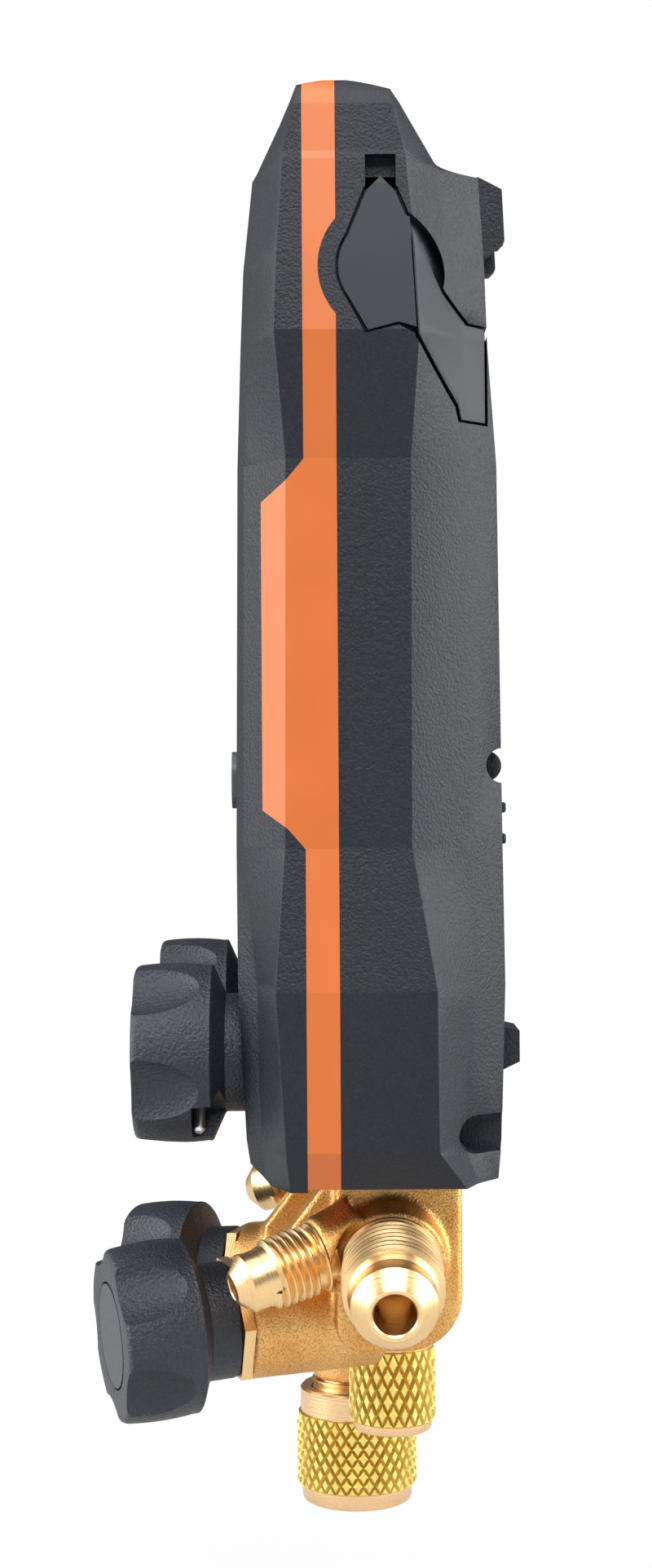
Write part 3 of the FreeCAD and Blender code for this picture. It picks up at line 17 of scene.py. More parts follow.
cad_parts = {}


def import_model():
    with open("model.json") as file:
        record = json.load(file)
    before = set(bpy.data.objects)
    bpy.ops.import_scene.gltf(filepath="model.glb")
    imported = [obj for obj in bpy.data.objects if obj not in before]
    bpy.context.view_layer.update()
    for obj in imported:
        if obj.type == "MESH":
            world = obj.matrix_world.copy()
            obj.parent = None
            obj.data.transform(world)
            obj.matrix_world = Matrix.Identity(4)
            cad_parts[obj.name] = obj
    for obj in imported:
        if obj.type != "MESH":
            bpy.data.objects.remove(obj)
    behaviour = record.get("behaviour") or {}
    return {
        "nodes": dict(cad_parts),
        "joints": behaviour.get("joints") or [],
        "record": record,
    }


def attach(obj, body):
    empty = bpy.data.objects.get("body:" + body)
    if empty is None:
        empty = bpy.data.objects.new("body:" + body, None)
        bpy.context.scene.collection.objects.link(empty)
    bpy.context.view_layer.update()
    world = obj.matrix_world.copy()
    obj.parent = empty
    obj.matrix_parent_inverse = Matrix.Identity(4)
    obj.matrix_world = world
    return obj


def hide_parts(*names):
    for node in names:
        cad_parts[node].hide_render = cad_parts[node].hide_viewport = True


LOG = logging.getLogger("gauge")
Colour = tuple[float, float, float]
Point = tuple[float, float, float]
Profile = Sequence[tuple[float, float]]

MM = 0.001
# Corners of a CAD solid, and of a spun shape in millimetres, that lie nearer than these are one.
CAD_WELD = 0.002 * MM
SPUN_WELD = 1e-4
# Faces round a port or a cap.
TURNED_STEPS = 96
# A direction whose level part is shorter than this counts as upright.
UPRIGHT = 0.05
# What noise is on average.
NOISE_MIDDLE = 0.5


# Shader maths


class Signal:
    """A value on a shader's wire that Python expressions can use."""

    def __init__(self, shader: "Shader", socket: "bpy.types.NodeSocket | None") -> None:
        """Wraps an output socket of a node in a shader."""
        self.shader = shader
        self.socket = socket

    def _with(self, operation: str, first: "Signal | float", second: "Signal | float") -> "Signal":
        """A Math node on two values."""
        return self.shader.node("ShaderNodeMath", {"operation": operation}, {0: first, 1: second})

    def __add__(self, other: "Signal | float") -> "Signal":
        """This value plus another."""
        return self._with("ADD", self, other)

    __radd__ = __add__

    def __sub__(self, other: "Signal | float") -> "Signal":
        """This value less another."""
        return self._with("SUBTRACT", self, other)

    def __rsub__(self, other: float) -> "Signal":
        """A number less this value."""
        return self._with("SUBTRACT", other, self)

    def __mul__(self, other: "Signal | float") -> "Signal":
        """This value times another."""
        return self._with("MULTIPLY", self, other)

    __rmul__ = __mul__

    def above(self, low: float, high: float) -> "Signal":
        """A mask that rises smoothly from 0 at low to 1 at high.

        Args:
            low: value below which the mask is 0.
            high: value above which the mask is 1.

        Returns:
            The mask.
        """
        settings = {"interpolation_type": "SMOOTHSTEP"}
        ends = {0: self, 1: low, 2: high, 3: 0.0, 4: 1.0}
        return self.shader.node("ShaderNodeMapRange", settings, ends)

    def largest(self, other: "Signal | float") -> "Signal":
        """The larger of this value and another."""
        return self._with("MAXIMUM", self, other)

    def size(self) -> "Signal":
        """This value without its sign."""
        return self._with("ABSOLUTE", self, 0.0)

    def beside(self, name: str) -> "Signal":
        """Another output of the same node."""
        return Signal(self.shader, self.socket.node.outputs[name])


class Shader:
    """A material's or the world's node tree, built node by node."""

    def __init__(self, owner: "bpy.types.Material | bpy.types.World") -> None:
        """Clears the owner's node tree and takes it over.

        Args:
            owner: the material or world.
        """
        owner.use_nodes = True
        self.tree = owner.node_tree
        self.tree.nodes.clear()

    def node(
        self,
        kind: str,
        settings: dict | None = None,
        values: dict | None = None,
        output: "int | str" = 0,
    ) -> Signal:
        """Adds a node.

        Args:
            kind: the node's type.
            settings: its own settings.
            values: numbers or signals for its sockets, by index or name.
            output: which of its outputs is wanted, by index or name.

        Returns:
            The wanted output as a signal.
        """
        made = self.tree.nodes.new(kind)
        for key, value in (settings or {}).items():
            setattr(made, key, value)
        for key, value in (values or {}).items():
            if isinstance(value, Signal):
                self.tree.links.new(value.socket, made.inputs[key])
            else:
                made.inputs[key].default_value = value
        return Signal(self, made.outputs[output] if len(made.outputs) else None)

    def vector(self, operation: str, values: dict, output: str = "Vector") -> Signal:
        """A Vector Math node."""
        return self.node("ShaderNodeVectorMath", {"operation": operation}, values, output)

    def place(self) -> Signal:
        """Where a point of the surface is, in the object's own frame."""
        return self.node("ShaderNodeTexCoord", output="Object")

    def noise(self, grain: float, detail: float = 2.0, stretch: Point = (1.0, 1.0, 1.0)) -> Signal:
        """Soft noise.

        Args:
            grain: size of its spots in metres.
            detail: how many finer layers it has.
            stretch: how much denser it is along each axis.

        Returns:
            The noise, near NOISE_MIDDLE on average.
        """
        spot = self.node("ShaderNodeMapping", {}, {0: self.place(), 3: stretch})
        values = {"Vector": spot, "Scale": 1.0 / grain, "Detail": detail}
        return self.node("ShaderNodeTexNoise", {}, values)

    def tint(self, colour: Colour, tone: "Signal | float") -> Signal:
        """A colour made lighter or darker by a tone."""
        return self.vector("SCALE", {0: colour, "Scale": tone})

    def mix(self, share: "Signal | float", first: "Signal | Colour", second: "Signal | Colour") -> Signal:
        """A blend of two colours.

        Args:
            share: how much of the second colour there is, from 0 to 1.
            first: the colour at 0.
            second: the colour at 1.

        Returns:
            The blended colour.
        """
        ends = [value if isinstance(value, Signal) else (*value, 1.0) for value in (first, second)]
        values = {0: share, 6: ends[0], 7: ends[1]}
        return self.node("ShaderNodeMix", {"data_type": "RGBA"}, values, output=2)

    def principled(self, **values: "Signal | float | tuple") -> None:
        """Makes the surface from Principled BSDF values.

        Args:
            **values: the sockets' values by name, with _ for a space.
        """
        sockets = {key.replace("_", " "): value for key, value in values.items()}
        shader = self.node("ShaderNodeBsdfPrincipled", {}, sockets)
        self.node("ShaderNodeOutputMaterial", {}, {"Surface": shader})

    def bump(self, height: Signal, depth: float) -> Signal:
        """A normal from a height of 0 to 1 and its depth in metres."""
        return self.node("ShaderNodeBump", {}, {"Strength": 1.0, "Distance": depth, "Height": height})


# Finishes


@dataclass(frozen=True)
class Finish:
    """A surface's look, by the record's material slot."""

    slot: str
    colour: Colour
    roughness: float

    def material(self) -> bpy.types.Material:
        """The finish as a material, made once.

        Returns:
            The material.
        """
        found = bpy.data.materials.get(f"{self.slot}_finish")
        if found:
            return found
        made = bpy.data.materials.new(f"{self.slot}_finish")
        self.paint(Shader(made))
        return made

    def paint(self, shader: Shader) -> None:
        """Builds the finish's nodes in a shader."""
        raise NotImplementedError


@dataclass(frozen=True)
class Moulded(Finish):
    """Moulded plastic or rubber with a grain cut into its mould."""

    grain: float = 0.25 * MM
    depth: float = 0.03 * MM
    speckle: float = 0.35
    gloss: float = 0.5
    cloud_size: float = 18 * MM
    clouding: float = 0.25
    roughness_spread: float = 0.25

    def paint(self, shader: Shader) -> None:
        """Builds grain, faint clouding and the roughness that goes with them.

        Args:
            shader: the empty shader that the nodes go into.
        """
        grain = shader.noise(self.grain, 3.0)
        cloud = shader.noise(self.cloud_size)
        tone = 1.0 + (grain - NOISE_MIDDLE) * self.speckle + (cloud - NOISE_MIDDLE) * self.clouding
        shader.principled(
            Base_Color=shader.tint(self.colour, tone),
            Roughness=self.roughness + (grain - NOISE_MIDDLE) * self.roughness_spread,
            Specular_IOR_Level=self.gloss,
            Normal=shader.bump(grain, self.depth),
        )


@dataclass(frozen=True)
class CastBrass(Finish):
    """Sand-textured cast brass, darker in its pores."""

    pore_colour: Colour = (0.32, 0.13, 0.03)
    yellow_colour: Colour = (0.84, 0.50, 0.18)
    grain: float = 0.30 * MM
    depth: float = 0.14 * MM
    cloud_size: float = 7 * MM
    pore_edges: tuple[float, float] = (0.34, 0.56)
    hue_edges: tuple[float, float] = (0.3, 0.7)
    pore_darkness: float = 0.55
    pore_roughness: float = 0.15

    def paint(self, shader: Shader) -> None:
        """Builds grains, pores and slow changes of hue.

        Args:
            shader: the empty shader that the nodes go into.
        """
        grain = shader.noise(self.grain, 4.0)
        cloud = shader.noise(self.cloud_size)
        pores = 1.0 - grain.above(*self.pore_edges)
        hue = shader.mix(cloud.above(*self.hue_edges), self.colour, self.yellow_colour)
        shader.principled(
            Base_Color=shader.mix(pores * self.pore_darkness, hue, self.pore_colour),
            Metallic=1.0,
            Roughness=self.roughness + pores * self.pore_roughness,
            Normal=shader.bump(grain, self.depth),
        )


@dataclass(frozen=True)
class Turned(Finish):
    """Metal turned on a lathe: fine rings round an axis."""

    origin: Point = (0.0, 0.0, 0.0)
    axis: Point = (0.0, 0.0, 1.0)
    name: str = ""
    pitch: float = 0.26 * MM
    depth: float = 0.02 * MM
    cloud_size: float = 5 * MM
    slant: float = 0.7
    darkest: float = 0.82
    ring_tone: float = 0.22
    cloud_tone: float = 0.14
    roughness_spread: float = 0.2

    def material(self) -> bpy.types.Material:
        """The finish as a material of the named piece alone.

        Returns:
            The material.
        """
        made = bpy.data.materials.new(f"{self.name}_finish")
        self.paint(Shader(made))
        return made

    def paint(self, shader: Shader) -> None:
        """Builds the tool's rings, along the axis and across the faces.

        Args:
            shader: the empty shader that the nodes go into.
        """
        spot = shader.vector("SUBTRACT", {0: shader.place(), 1: self.origin})
        along = shader.vector("DOT_PRODUCT", {0: spot, 1: self.axis}, "Value")
        length = shader.vector("LENGTH", {0: spot}, "Value")
        path = along * self.slant + length * self.slant
        values = {"W": path, "Scale": 1.0 / self.pitch, "Detail": 3.0}
        rings = shader.node("ShaderNodeTexNoise", {"noise_dimensions": "1D"}, values)
        cloud = shader.noise(self.cloud_size)
        tone = self.darkest + rings * self.ring_tone + cloud * self.cloud_tone
        shader.principled(
            Base_Color=shader.tint(self.colour, tone),
            Metallic=1.0,
            Roughness=self.roughness + (rings - NOISE_MIDDLE) * self.roughness_spread,
            Normal=shader.bump(rings, self.depth),
        )


@dataclass(frozen=True)
class Streaked(Finish):
    """Metal with streaks, as rolling, drawing or plating leaves them."""

    grain: float = 0.3 * MM
    stretch: Point = (6.0, 1.0, 1.0)
    depth: float = 0.006 * MM
    darkest: float = 0.85
    streak_tone: float = 0.3
    streak_roughness: float = 0.12

    def paint(self, shader: Shader) -> None:
        """Builds the streaks.

        Args:
            shader: the empty shader that the nodes go into.
        """
        streaks = shader.noise(self.grain, 3.0, self.stretch)
        shader.principled(
            Base_Color=shader.tint(self.colour, self.darkest + streaks * self.streak_tone),
            Metallic=1.0,
            Roughness=self.roughness + streaks * self.streak_roughness,
            Normal=shader.bump(streaks, self.depth),
        )


@dataclass(frozen=True)
class RolledBrass(Streaked):
    """Brass under a rolled knurl, smeared along the cap."""

    grain: float = 0.9 * MM
    stretch: Point = (1.0, 1.0, 0.3)
    depth: float = 0.03 * MM
    darkest: float = 0.75
    streak_tone: float = 0.5


@dataclass(frozen=True)
class Clear(Finish):
    """Clear window plastic or sight-glass."""

    wiping_size: float = 6 * MM
    wiping_roughness: float = 0.03
    ior: float = 1.49

    def paint(self, shader: Shader) -> None:
        """Builds a clear body with faint wiping marks.

        Args:
            shader: the empty shader that the nodes go into.
        """
        wiping = shader.noise(self.wiping_size, 2.0, (1.0, 1.0, 3.0))
        shader.principled(
            Base_Color=(*self.colour, 1.0),
            Roughness=self.roughness + wiping * self.wiping_roughness,
            IOR=self.ior,
            Transmission_Weight=1.0,
        )


@dataclass(frozen=True)
class Screen(Finish):
    """A liquid-crystal panel that is switched off."""

    dot: float = 0.35 * MM
    darkest: float = 0.9
    dot_tone: float = 0.2
    dot_roughness: float = 0.05

    def paint(self, shader: Shader) -> None:
        """Builds the panel's faint dots.

        Args:
            shader: the empty shader that the nodes go into.
        """
        dots = shader.noise(self.dot, 0.0)
        shader.principled(
            Base_Color=shader.tint(self.colour, self.darkest + dots * self.dot_tone),
            Roughness=self.roughness + dots * self.dot_roughness,
        )


CASE_DARK: Colour = (0.0100, 0.0122, 0.0180)
MACHINED: Colour = (0.88, 0.61, 0.30)
CAP_BRASS: Colour = (0.90, 0.60, 0.33)
FINISHES: dict[str, Finish] = {
    finish.slot: finish
    for finish in (
        Moulded(
            "case_plastic", CASE_DARK, 0.46, grain=0.45 * MM, depth=0.16 * MM, speckle=1.1, gloss=0.3
        ),
        Moulded("case_plastic_smooth", CASE_DARK, 0.44, grain=0.35 * MM, depth=0.08 * MM, gloss=0.35),
        Moulded(
            "grip_orange", (0.50, 0.118, 0.019), 0.42, grain=0.22 * MM, depth=0.006 * MM, speckle=0.05
        ),
        Moulded("seal_rubber", (0.012, 0.012, 0.012), 0.6, grain=0.4 * MM, depth=0.01 * MM),
        Moulded(
            "cover_rubber",
            (0.015, 0.017, 0.024),
            0.50,
            grain=0.15 * MM,
            depth=0.005 * MM,
            speckle=0.12,
            gloss=0.35,
        ),
        Moulded("socket_plastic", (0.01, 0.01, 0.01), 0.3, grain=0.3 * MM, depth=0.004 * MM),
        Clear("window_glass", (0.82, 0.86, 0.88), 0.02),
        Screen("display_face", (0.10, 0.12, 0.115), 0.18),
        Moulded("board_green", (0.01, 0.10, 0.04), 0.35, grain=1.1 * MM, depth=0.01 * MM),
        Moulded("mat_rubber", (0.03, 0.03, 0.032), 0.6, grain=0.3 * MM, depth=0.01 * MM),
        Moulded("key_plastic", (0.07, 0.075, 0.09), 0.42, grain=0.2 * MM, depth=0.015 * MM),
        Moulded("cell_jacket", (0.03, 0.03, 0.035), 0.25, grain=0.5 * MM, depth=0.004 * MM),
        Streaked("contact_steel", (0.62, 0.62, 0.60), 0.3),
        Streaked("pin_steel", (0.86, 0.86, 0.87), 0.34),
        Streaked("spindle_steel", (0.55, 0.54, 0.52), 0.3),
        CastBrass("cast_brass", (0.74, 0.39, 0.115), 0.36),
        RolledBrass("cap_brass", (0.92, 0.76, 0.22), 0.28),
        # The knurl's groove walls: a darker brass that paints shade into the grooves.
        RolledBrass("groove_shade_brass", (0.66, 0.45, 0.10), 0.40),
        Moulded(
            "knob_plastic",
            (0.016, 0.020, 0.029),
            0.42,
            grain=0.50 * MM,
            depth=0.30 * MM,
            speckle=1.2,
            gloss=0.45,
        ),
        Moulded(
            "disc_plastic", (0.034, 0.037, 0.047), 0.46, grain=0.45 * MM, depth=0.12 * MM, speckle=0.5
        ),
        Clear("sight_lens", (0.9, 0.95, 0.96), 0.03),
    )
}


# Places and pieces


@dataclass(frozen=True)
class Station:
    """A place on the object and the direction that leaves it."""

    origin: Vector
    axis: Vector

    def frame(self) -> Matrix:
        """Millimetres along the station's own axes to metres in the model's frame.

        Returns:
            The matrix. Its Z leaves along the axis, and its Y is up where the axis is level.
        """
        out = self.axis.normalized()
        across = Vector((-out.y, out.x, 0.0))
        across = across.normalized() if across.length > UPRIGHT else Vector((1.0, 0.0, 0.0))
        turn = Matrix((across, out.cross(across), out)).transposed().to_4x4()
        return Matrix.Translation(self.origin) @ turn @ Matrix.Scale(MM, 4)

    def turned(self, name: str, colour: Colour = MACHINED, roughness: float = 0.3) -> bpy.types.Material:
        """A lathe finish round this station's axis, for the named piece."""
        place = {"origin": tuple(self.origin), "axis": tuple(self.axis)}
        return Turned("turned_brass", colour, roughness, name=name, **place).material()


class Frame:
    """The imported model: its nodes, joints and mounts."""

    def __init__(self) -> None:
        """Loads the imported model."""
        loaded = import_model()
        self.nodes: dict[str, bpy.types.Object] = loaded["nodes"]
        self.joints = {joint["name"]: joint for joint in loaded["joints"]}
        self.mounts = {mount["name"]: mount for mount in loaded["record"]["mounts"]}
        self.slots = {part["node"]: part["material_slot"] for part in loaded["record"]["subparts"]}
        bodies = loaded["record"]["behaviour"]["bodies"]
        self.body_of = {node: body for body, nodes in bodies.items() for node in nodes}

    def valve(self, name: str) -> Station:
        """The station of one valve, from its knob's joint."""
        joint = self.joints[f"{name}_knob_turn"]
        return Station(Vector(joint["pos_m"]), Vector(joint["axis"]))

    def port(self, name: str, back: float = 0.0) -> Station:
        """The station of one mount.

        Args:
            name: the mount's name.
            back: how far behind the mount the station is, in metres.

        Returns:
            The station.
        """
        mount = self.mounts[name]
        axis = Vector(mount["axis"])
        return Station(Vector(mount["pos_m"]) - axis * back, axis)

    def add(
        self,
        mesh: bmesh.types.BMesh,
        name: str,
        node: str,
        place: Matrix,
        stands_for: bool = False,
        sharp: float = 32.0,
        materials: Sequence[bpy.types.Material] = (),
    ) -> bpy.types.Object:
        """Makes a piece of a bmesh and has it stand for, or ride with, a CAD node.

        Args:
            mesh: the piece's shape in the place's own units, which this uses up.
            name: the piece's name.
            node: the CAD node that it stands for or goes with.
            place: the matrix from the shape's own frame to the model's.
            stands_for: whether it replaces the node.
            sharp: the angle in degrees above which an edge stays sharp.
            materials: its materials, where they aren't the finish of the node's slot.

        Returns:
            The new object.
        """
        mesh.transform(place)
        bmesh.ops.recalc_face_normals(mesh, faces=mesh.faces)
        data = bpy.data.meshes.new(name)
        mesh.to_mesh(data)
        mesh.free()
        data.shade_smooth()
        data.set_sharp_from_angle(angle=math.radians(sharp))
        piece = bpy.data.objects.new(name, data)
        bpy.context.scene.collection.objects.link(piece)
        slot = self.slots[node]
        for material in materials or [FINISHES[slot].material()]:
            data.materials.append(material)
        if stands_for:
            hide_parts(node)
        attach(piece, self.body_of[node])
        LOG.info("%s: %d faces", name, len(data.polygons))
        return piece

    def dress(self, node: str, material: bpy.types.Material | None = None) -> None:
        """Gives a CAD node its finish.

        Args:
            node: the CAD node.
            material: its material, where it isn't the finish of the node's slot.
        """
        slots = self.nodes[node].data.materials
        slots.clear()
        slots.append(material or FINISHES[self.slots[node]].material())


def spun(profile: Profile, steps: int) -> bmesh.types.BMesh:
    """A solid turned round the Z axis.

    Args:
        profile: (radius, height) points, in order.
        steps: how many faces it has round the axis.

    Returns:
        The closed shape.
    """
    shape = bmesh.new()
    spots = [shape.verts.new((radius, 0.0, height)) for radius, height in profile]
    edges = [shape.edges.new(pair) for pair in zip(spots, spots[1:])]
    bmesh.ops.spin(
        shape, geom=spots + edges, cent=(0, 0, 0), axis=(0, 0, 1), angle=math.tau, steps=steps, use_merge=True
    )
    bmesh.ops.remove_doubles(shape, verts=shape.verts, dist=SPUN_WELD)
    return shape


def carved(shape: bmesh.types.BMesh, cutter: bmesh.types.BMesh) -> bmesh.types.BMesh:
    """A shape with another cut out of it.

    Args:
        shape: the blank, which this uses up.
        cutter: what is taken away, which this uses up.

    Returns:
        The carved shape.
    """
    items = []
    for name, source in (("blank", shape), ("cutter", cutter)):
        data = bpy.data.meshes.new(name)
        bmesh.ops.recalc_face_normals(source, faces=source.faces)
        source.to_mesh(data)
        source.free()
        items.append(bpy.data.objects.new(name, data))
        bpy.context.scene.collection.objects.link(items[-1])
    cut = items[0].modifiers.new("cut", "BOOLEAN")
    cut.operation = "DIFFERENCE"
    cut.solver = "EXACT"
    cut.object = items[1]
    result = bmesh.new()
    result.from_object(items[0], bpy.context.evaluated_depsgraph_get())
    for item in items:
        bpy.data.meshes.remove(item.data)
    return result


def rounded(profile: Profile, radius: float, points: int = 3) -> list[tuple[float, float]]:
    """A profile whose inner corners are rounded.

    Args:
        profile: (radius, height) points, in order.
        radius: how far from each corner its rounding starts, cut down on short runs.
        points: how many points each rounding has.

    Returns:
        The longer profile.
    """
    most_of_run = 0.45
    result = [tuple(profile[0])]
    for before, corner, after in zip(profile, profile[1:], profile[2:]):
        middle = Vector(corner)
        ways = [Vector(before) - middle, Vector(after) - middle]
        reach = min([radius] + [most_of_run * way.length for way in ways])
        start, end = (middle + way.normalized() * reach for way in ways)
        for i in range(points):
            share = i / (points - 1)
            curve = start.lerp(middle, share).lerp(middle.lerp(end, share), share)
            result.append((curve.x, curve.y))
    return result + [tuple(profile[-1])]


# Knobs


class KnobKind(Enum):
    """The two mountings of the star knob."""

    CASE = "case"
    SERVICE = "service"


@dataclass
class StarKnob:
    """A five-lobed valve knob whose thumb scallops run out towards its back. Sizes are in millimetres."""

    valve: str
    kind: KnobKind
    phase: float
    lobes: int = 5
    lobe_radius: float = 14.3
    hub_radius: float = 9.4
    case_hub: float = 6.5
    service_hub: float = 4.8
    foot: float = 2.1
    cavity_depth: float = 2.6
    cavity_radius: float = 7.0
    shoulder: float = 2.1
    depth: float = 12.4
    edge: float = 0.9
    edge_middle: tuple[float, float] = (0.35, 0.3)
    corner: float = 0.35
    crown: float = 0.35
    crown_rows: int = 6
    back_flare: float = 0.1
    back_edge: float = 0.5
    disc_radius: float = 8.3
    disc_depth: float = 1.2
    disc_gap: float = 0.25
    scallop_centre: float = 15.8
    scallop_depth: float = 4.3
    scallop_width: float = 6.7
    scallop_length: float = 11.6
    pin_radius: float = 0.95
    pin_length: float = 9.6
    pin_set_back: float = 2.0
    pin_set_in: float = 0.35
    pin_lean: float = -74.0
    pin_dome: tuple[float, float] = (0.12, 0.5)
    pin_dome_share: float = 0.6
    notch_sides: tuple[float, float] = (-1.3, 6.4)
    notch_reach: float = 9.0
    notch_gap: float = 0.1

    @property
    def rim(self) -> float:
        """How far along the valve the back of the lobes is."""
        return self.foot + (self.case_hub if self.kind is KnobKind.CASE else self.service_hub) + self.shoulder

    @property
    def front(self) -> float:
        """How far along the valve the front face is."""
        return self.rim + self.depth

    @property
    def lean(self) -> Matrix:
        """The turn from the knob's own X axis to its cross pin."""
        return Matrix.Rotation(math.radians(self.phase + self.pin_lean), 4, "Z")

    def outline(self) -> list[tuple[float, float]]:
        """The knob's profile before its scallops are cut, from its cavity round its front.

        Returns:
            (radius, height) points, in order.
        """
        wall = self.lobe_radius - self.crown
        roof = self.foot + self.cavity_depth
        body = [
            (0.0, roof),
            (self.cavity_radius, roof),
            (self.cavity_radius, self.foot),
            (self.hub_radius, self.foot),
            (self.hub_radius, self.rim - self.shoulder),
            (wall + self.back_flare, self.rim),
        ]
        for i in range(self.crown_rows + 1):
            share = i / self.crown_rows
            bulge = self.crown * (1.0 - (2.0 * share - 1.0) ** 2)
            height = self.rim + self.back_edge + (self.depth - self.edge - self.back_edge) * share
            body.append((wall + bulge, height))
        across, down = self.edge_middle
        body += [(wall - self.edge * across, self.front - self.edge * down), (wall - self.edge, self.front)]
        if self.kind is KnobKind.CASE:
            return [*body, (0.0, self.front)]
        ledge = self.disc_radius + self.disc_gap
        seat = self.front - self.disc_depth
        return [*body, (ledge, self.front), (ledge, seat), (0.0, seat)]

    def scallops(self) -> bmesh.types.BMesh:
        """The cutters: one long ellipsoid between each two lobes.

        Returns:
            The shape.
        """
        shape = bmesh.new()
        pitch = math.tau / self.lobes
        reach = Matrix.Translation((self.scallop_centre, 0.0, self.front))
        sizes = Matrix.Diagonal((self.scallop_depth, self.scallop_width, self.scallop_length, 1.0))
        for i in range(self.lobes):
            turn = Matrix.Rotation(math.radians(self.phase) + (i + 0.5) * pitch, 4, "Z")
            matrix = turn @ reach @ sizes
            bmesh.ops.create_uvsphere(shape, u_segments=64, v_segments=48, radius=1.0, matrix=matrix)
        return shape

    def notch(self) -> bmesh.types.BMesh:
        """The cutter for the slot in the back of a lobe, where the cross pin shows.

        Returns:
            The shape.
        """
        shape = bmesh.new()
        low, high = self.notch_sides
        depth = self.pin_set_back + self.shoulder + self.pin_radius + self.notch_gap
        size = Vector((self.notch_reach, high - low, depth))
        back = self.rim - self.shoulder
        middle = Vector((self.hub_radius + size.x / 2, (low + high) / 2, back + size.z / 2))
        matrix = self.lean @ Matrix.Translation(middle) @ Matrix.Diagonal((*size, 1.0))
        bmesh.ops.create_cube(shape, size=1.0, matrix=matrix)
        return shape

    def pin(self) -> bmesh.types.BMesh:
        """The cross pin, whose domed end stops just short of the lobe's face.

        Returns:
            The shape.
        """
        end = self.lobe_radius - self.pin_set_in
        tail = end - self.pin_length
        near, far = self.pin_dome
        dome = [(0.0, end), (self.pin_radius * self.pin_dome_share, end - near), (self.pin_radius, end - far)]
        shape = spun([*dome, (self.pin_radius, tail), (0.0, tail)], 32)
        along = Matrix.Translation((0.0, 0.0, self.rim + self.pin_set_back))
        shape.transform(along @ self.lean @ Matrix.Rotation(math.pi / 2, 4, "Y"))
        return shape

    def build(self, frame: Frame) -> None:
        """Makes the knob and its pin and has them stand for the CAD ones.

        Args:
            frame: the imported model.
        """
        shape = carved(spun(rounded(self.outline(), self.corner), 128), self.scallops())
        place = frame.valve(self.valve).frame()
        if self.kind is KnobKind.CASE:
            shape = carved(shape, self.notch())
            node = f"{self.valve}_cross_pin"
            frame.add(self.pin(), f"{self.valve}_driven_pin", node, place, stands_for=True)
        node = f"{self.valve}_knob"
        frame.add(shape, f"{self.valve}_star_knob", node, place, stands_for=True, sharp=24.0)


# Flare ports and their caps


@dataclass
class Thread:
    """A screw thread cut on a port, with both its ends run out. Sizes are in millimetres."""

    radius: float
    pitch: float
    start: float
    end: float
    steps: int = 64
    depth_share: float = 0.61
    crest_share: float = 0.1
    foot_sunk: float = 0.05
    end_sunk: float = 0.04
    end_share: float = 0.2
    fade_share: float = 0.8

    @property
    def root(self) -> float:
        """Radius at the bottom of the thread."""
        return self.radius - self.depth_share * self.pitch

    def add_to(self, shape: bmesh.types.BMesh) -> None:
        """Winds the thread's ridge round a core.

        Args:
            shape: the core, which the ridge is added to.
        """
        half = self.pitch / 2
        crest = self.pitch * self.crest_share
        foot = self.root - self.foot_sunk
        section = [(foot, -half), (self.radius, -crest), (self.radius, crest), (foot, half)]
        turns = (self.end - self.start - self.pitch) / self.pitch
        spots = [shape.verts.new((radius, 0.0, self.start + half + height)) for radius, height in section]
        edges = [shape.edges.new(pair) for pair in zip(spots, spots[1:])]
        count = int(self.steps * turns)
        before = set(shape.verts)
        bmesh.ops.spin(
            shape,
            geom=spots + edges,
            cent=(0, 0, 0),
            axis=(0, 0, 1),
            dvec=(0, 0, self.pitch / self.steps),
            angle=math.tau * count / self.steps,
            steps=count,
            use_merge=False,
        )
        for spot in [v for v in shape.verts if v not in before or v in spots]:
            radius = math.hypot(spot.co.x, spot.co.y)
            left = min(spot.co.z - self.start, self.end - spot.co.z) - half * self.end_share
            fade = max(0.0, min(1.0, left / (self.pitch * self.fade_share)))
            if radius > self.root:
                new = self.root + (radius - self.root) * fade - self.end_sunk * (1 - fade)
                spot.co.x *= new / radius
                spot.co.y *= new / radius


@dataclass(frozen=True)
class Flare:
    """The sizes of one SAE flare in millimetres. Its length is up to the nose."""

    radius: float
    length: float
    nose: float
    nose_length: float
    tip: float
    bore: float
    pitch: float

    @property
    def full(self) -> float:
        """How long the full thread is, up to the 45 degree shoulder behind the nose."""
        return self.length - (self.radius - self.nose)


class FlareSize(Enum):
    """The three flares of this part."""

    QUARTER = Flare(radius=5.556, length=8.0, nose=4.57, nose_length=2.4, tip=2.4, bore=1.9, pitch=1.27)
    PARK = Flare(radius=5.556, length=10.0, nose=4.57, nose_length=2.4, tip=2.4, bore=1.9, pitch=1.27)
    THREE_EIGHTHS = Flare(
        radius=7.94, length=12.7, nose=6.65, nose_length=2.9, tip=4.2, bore=3.3, pitch=1.411
    )


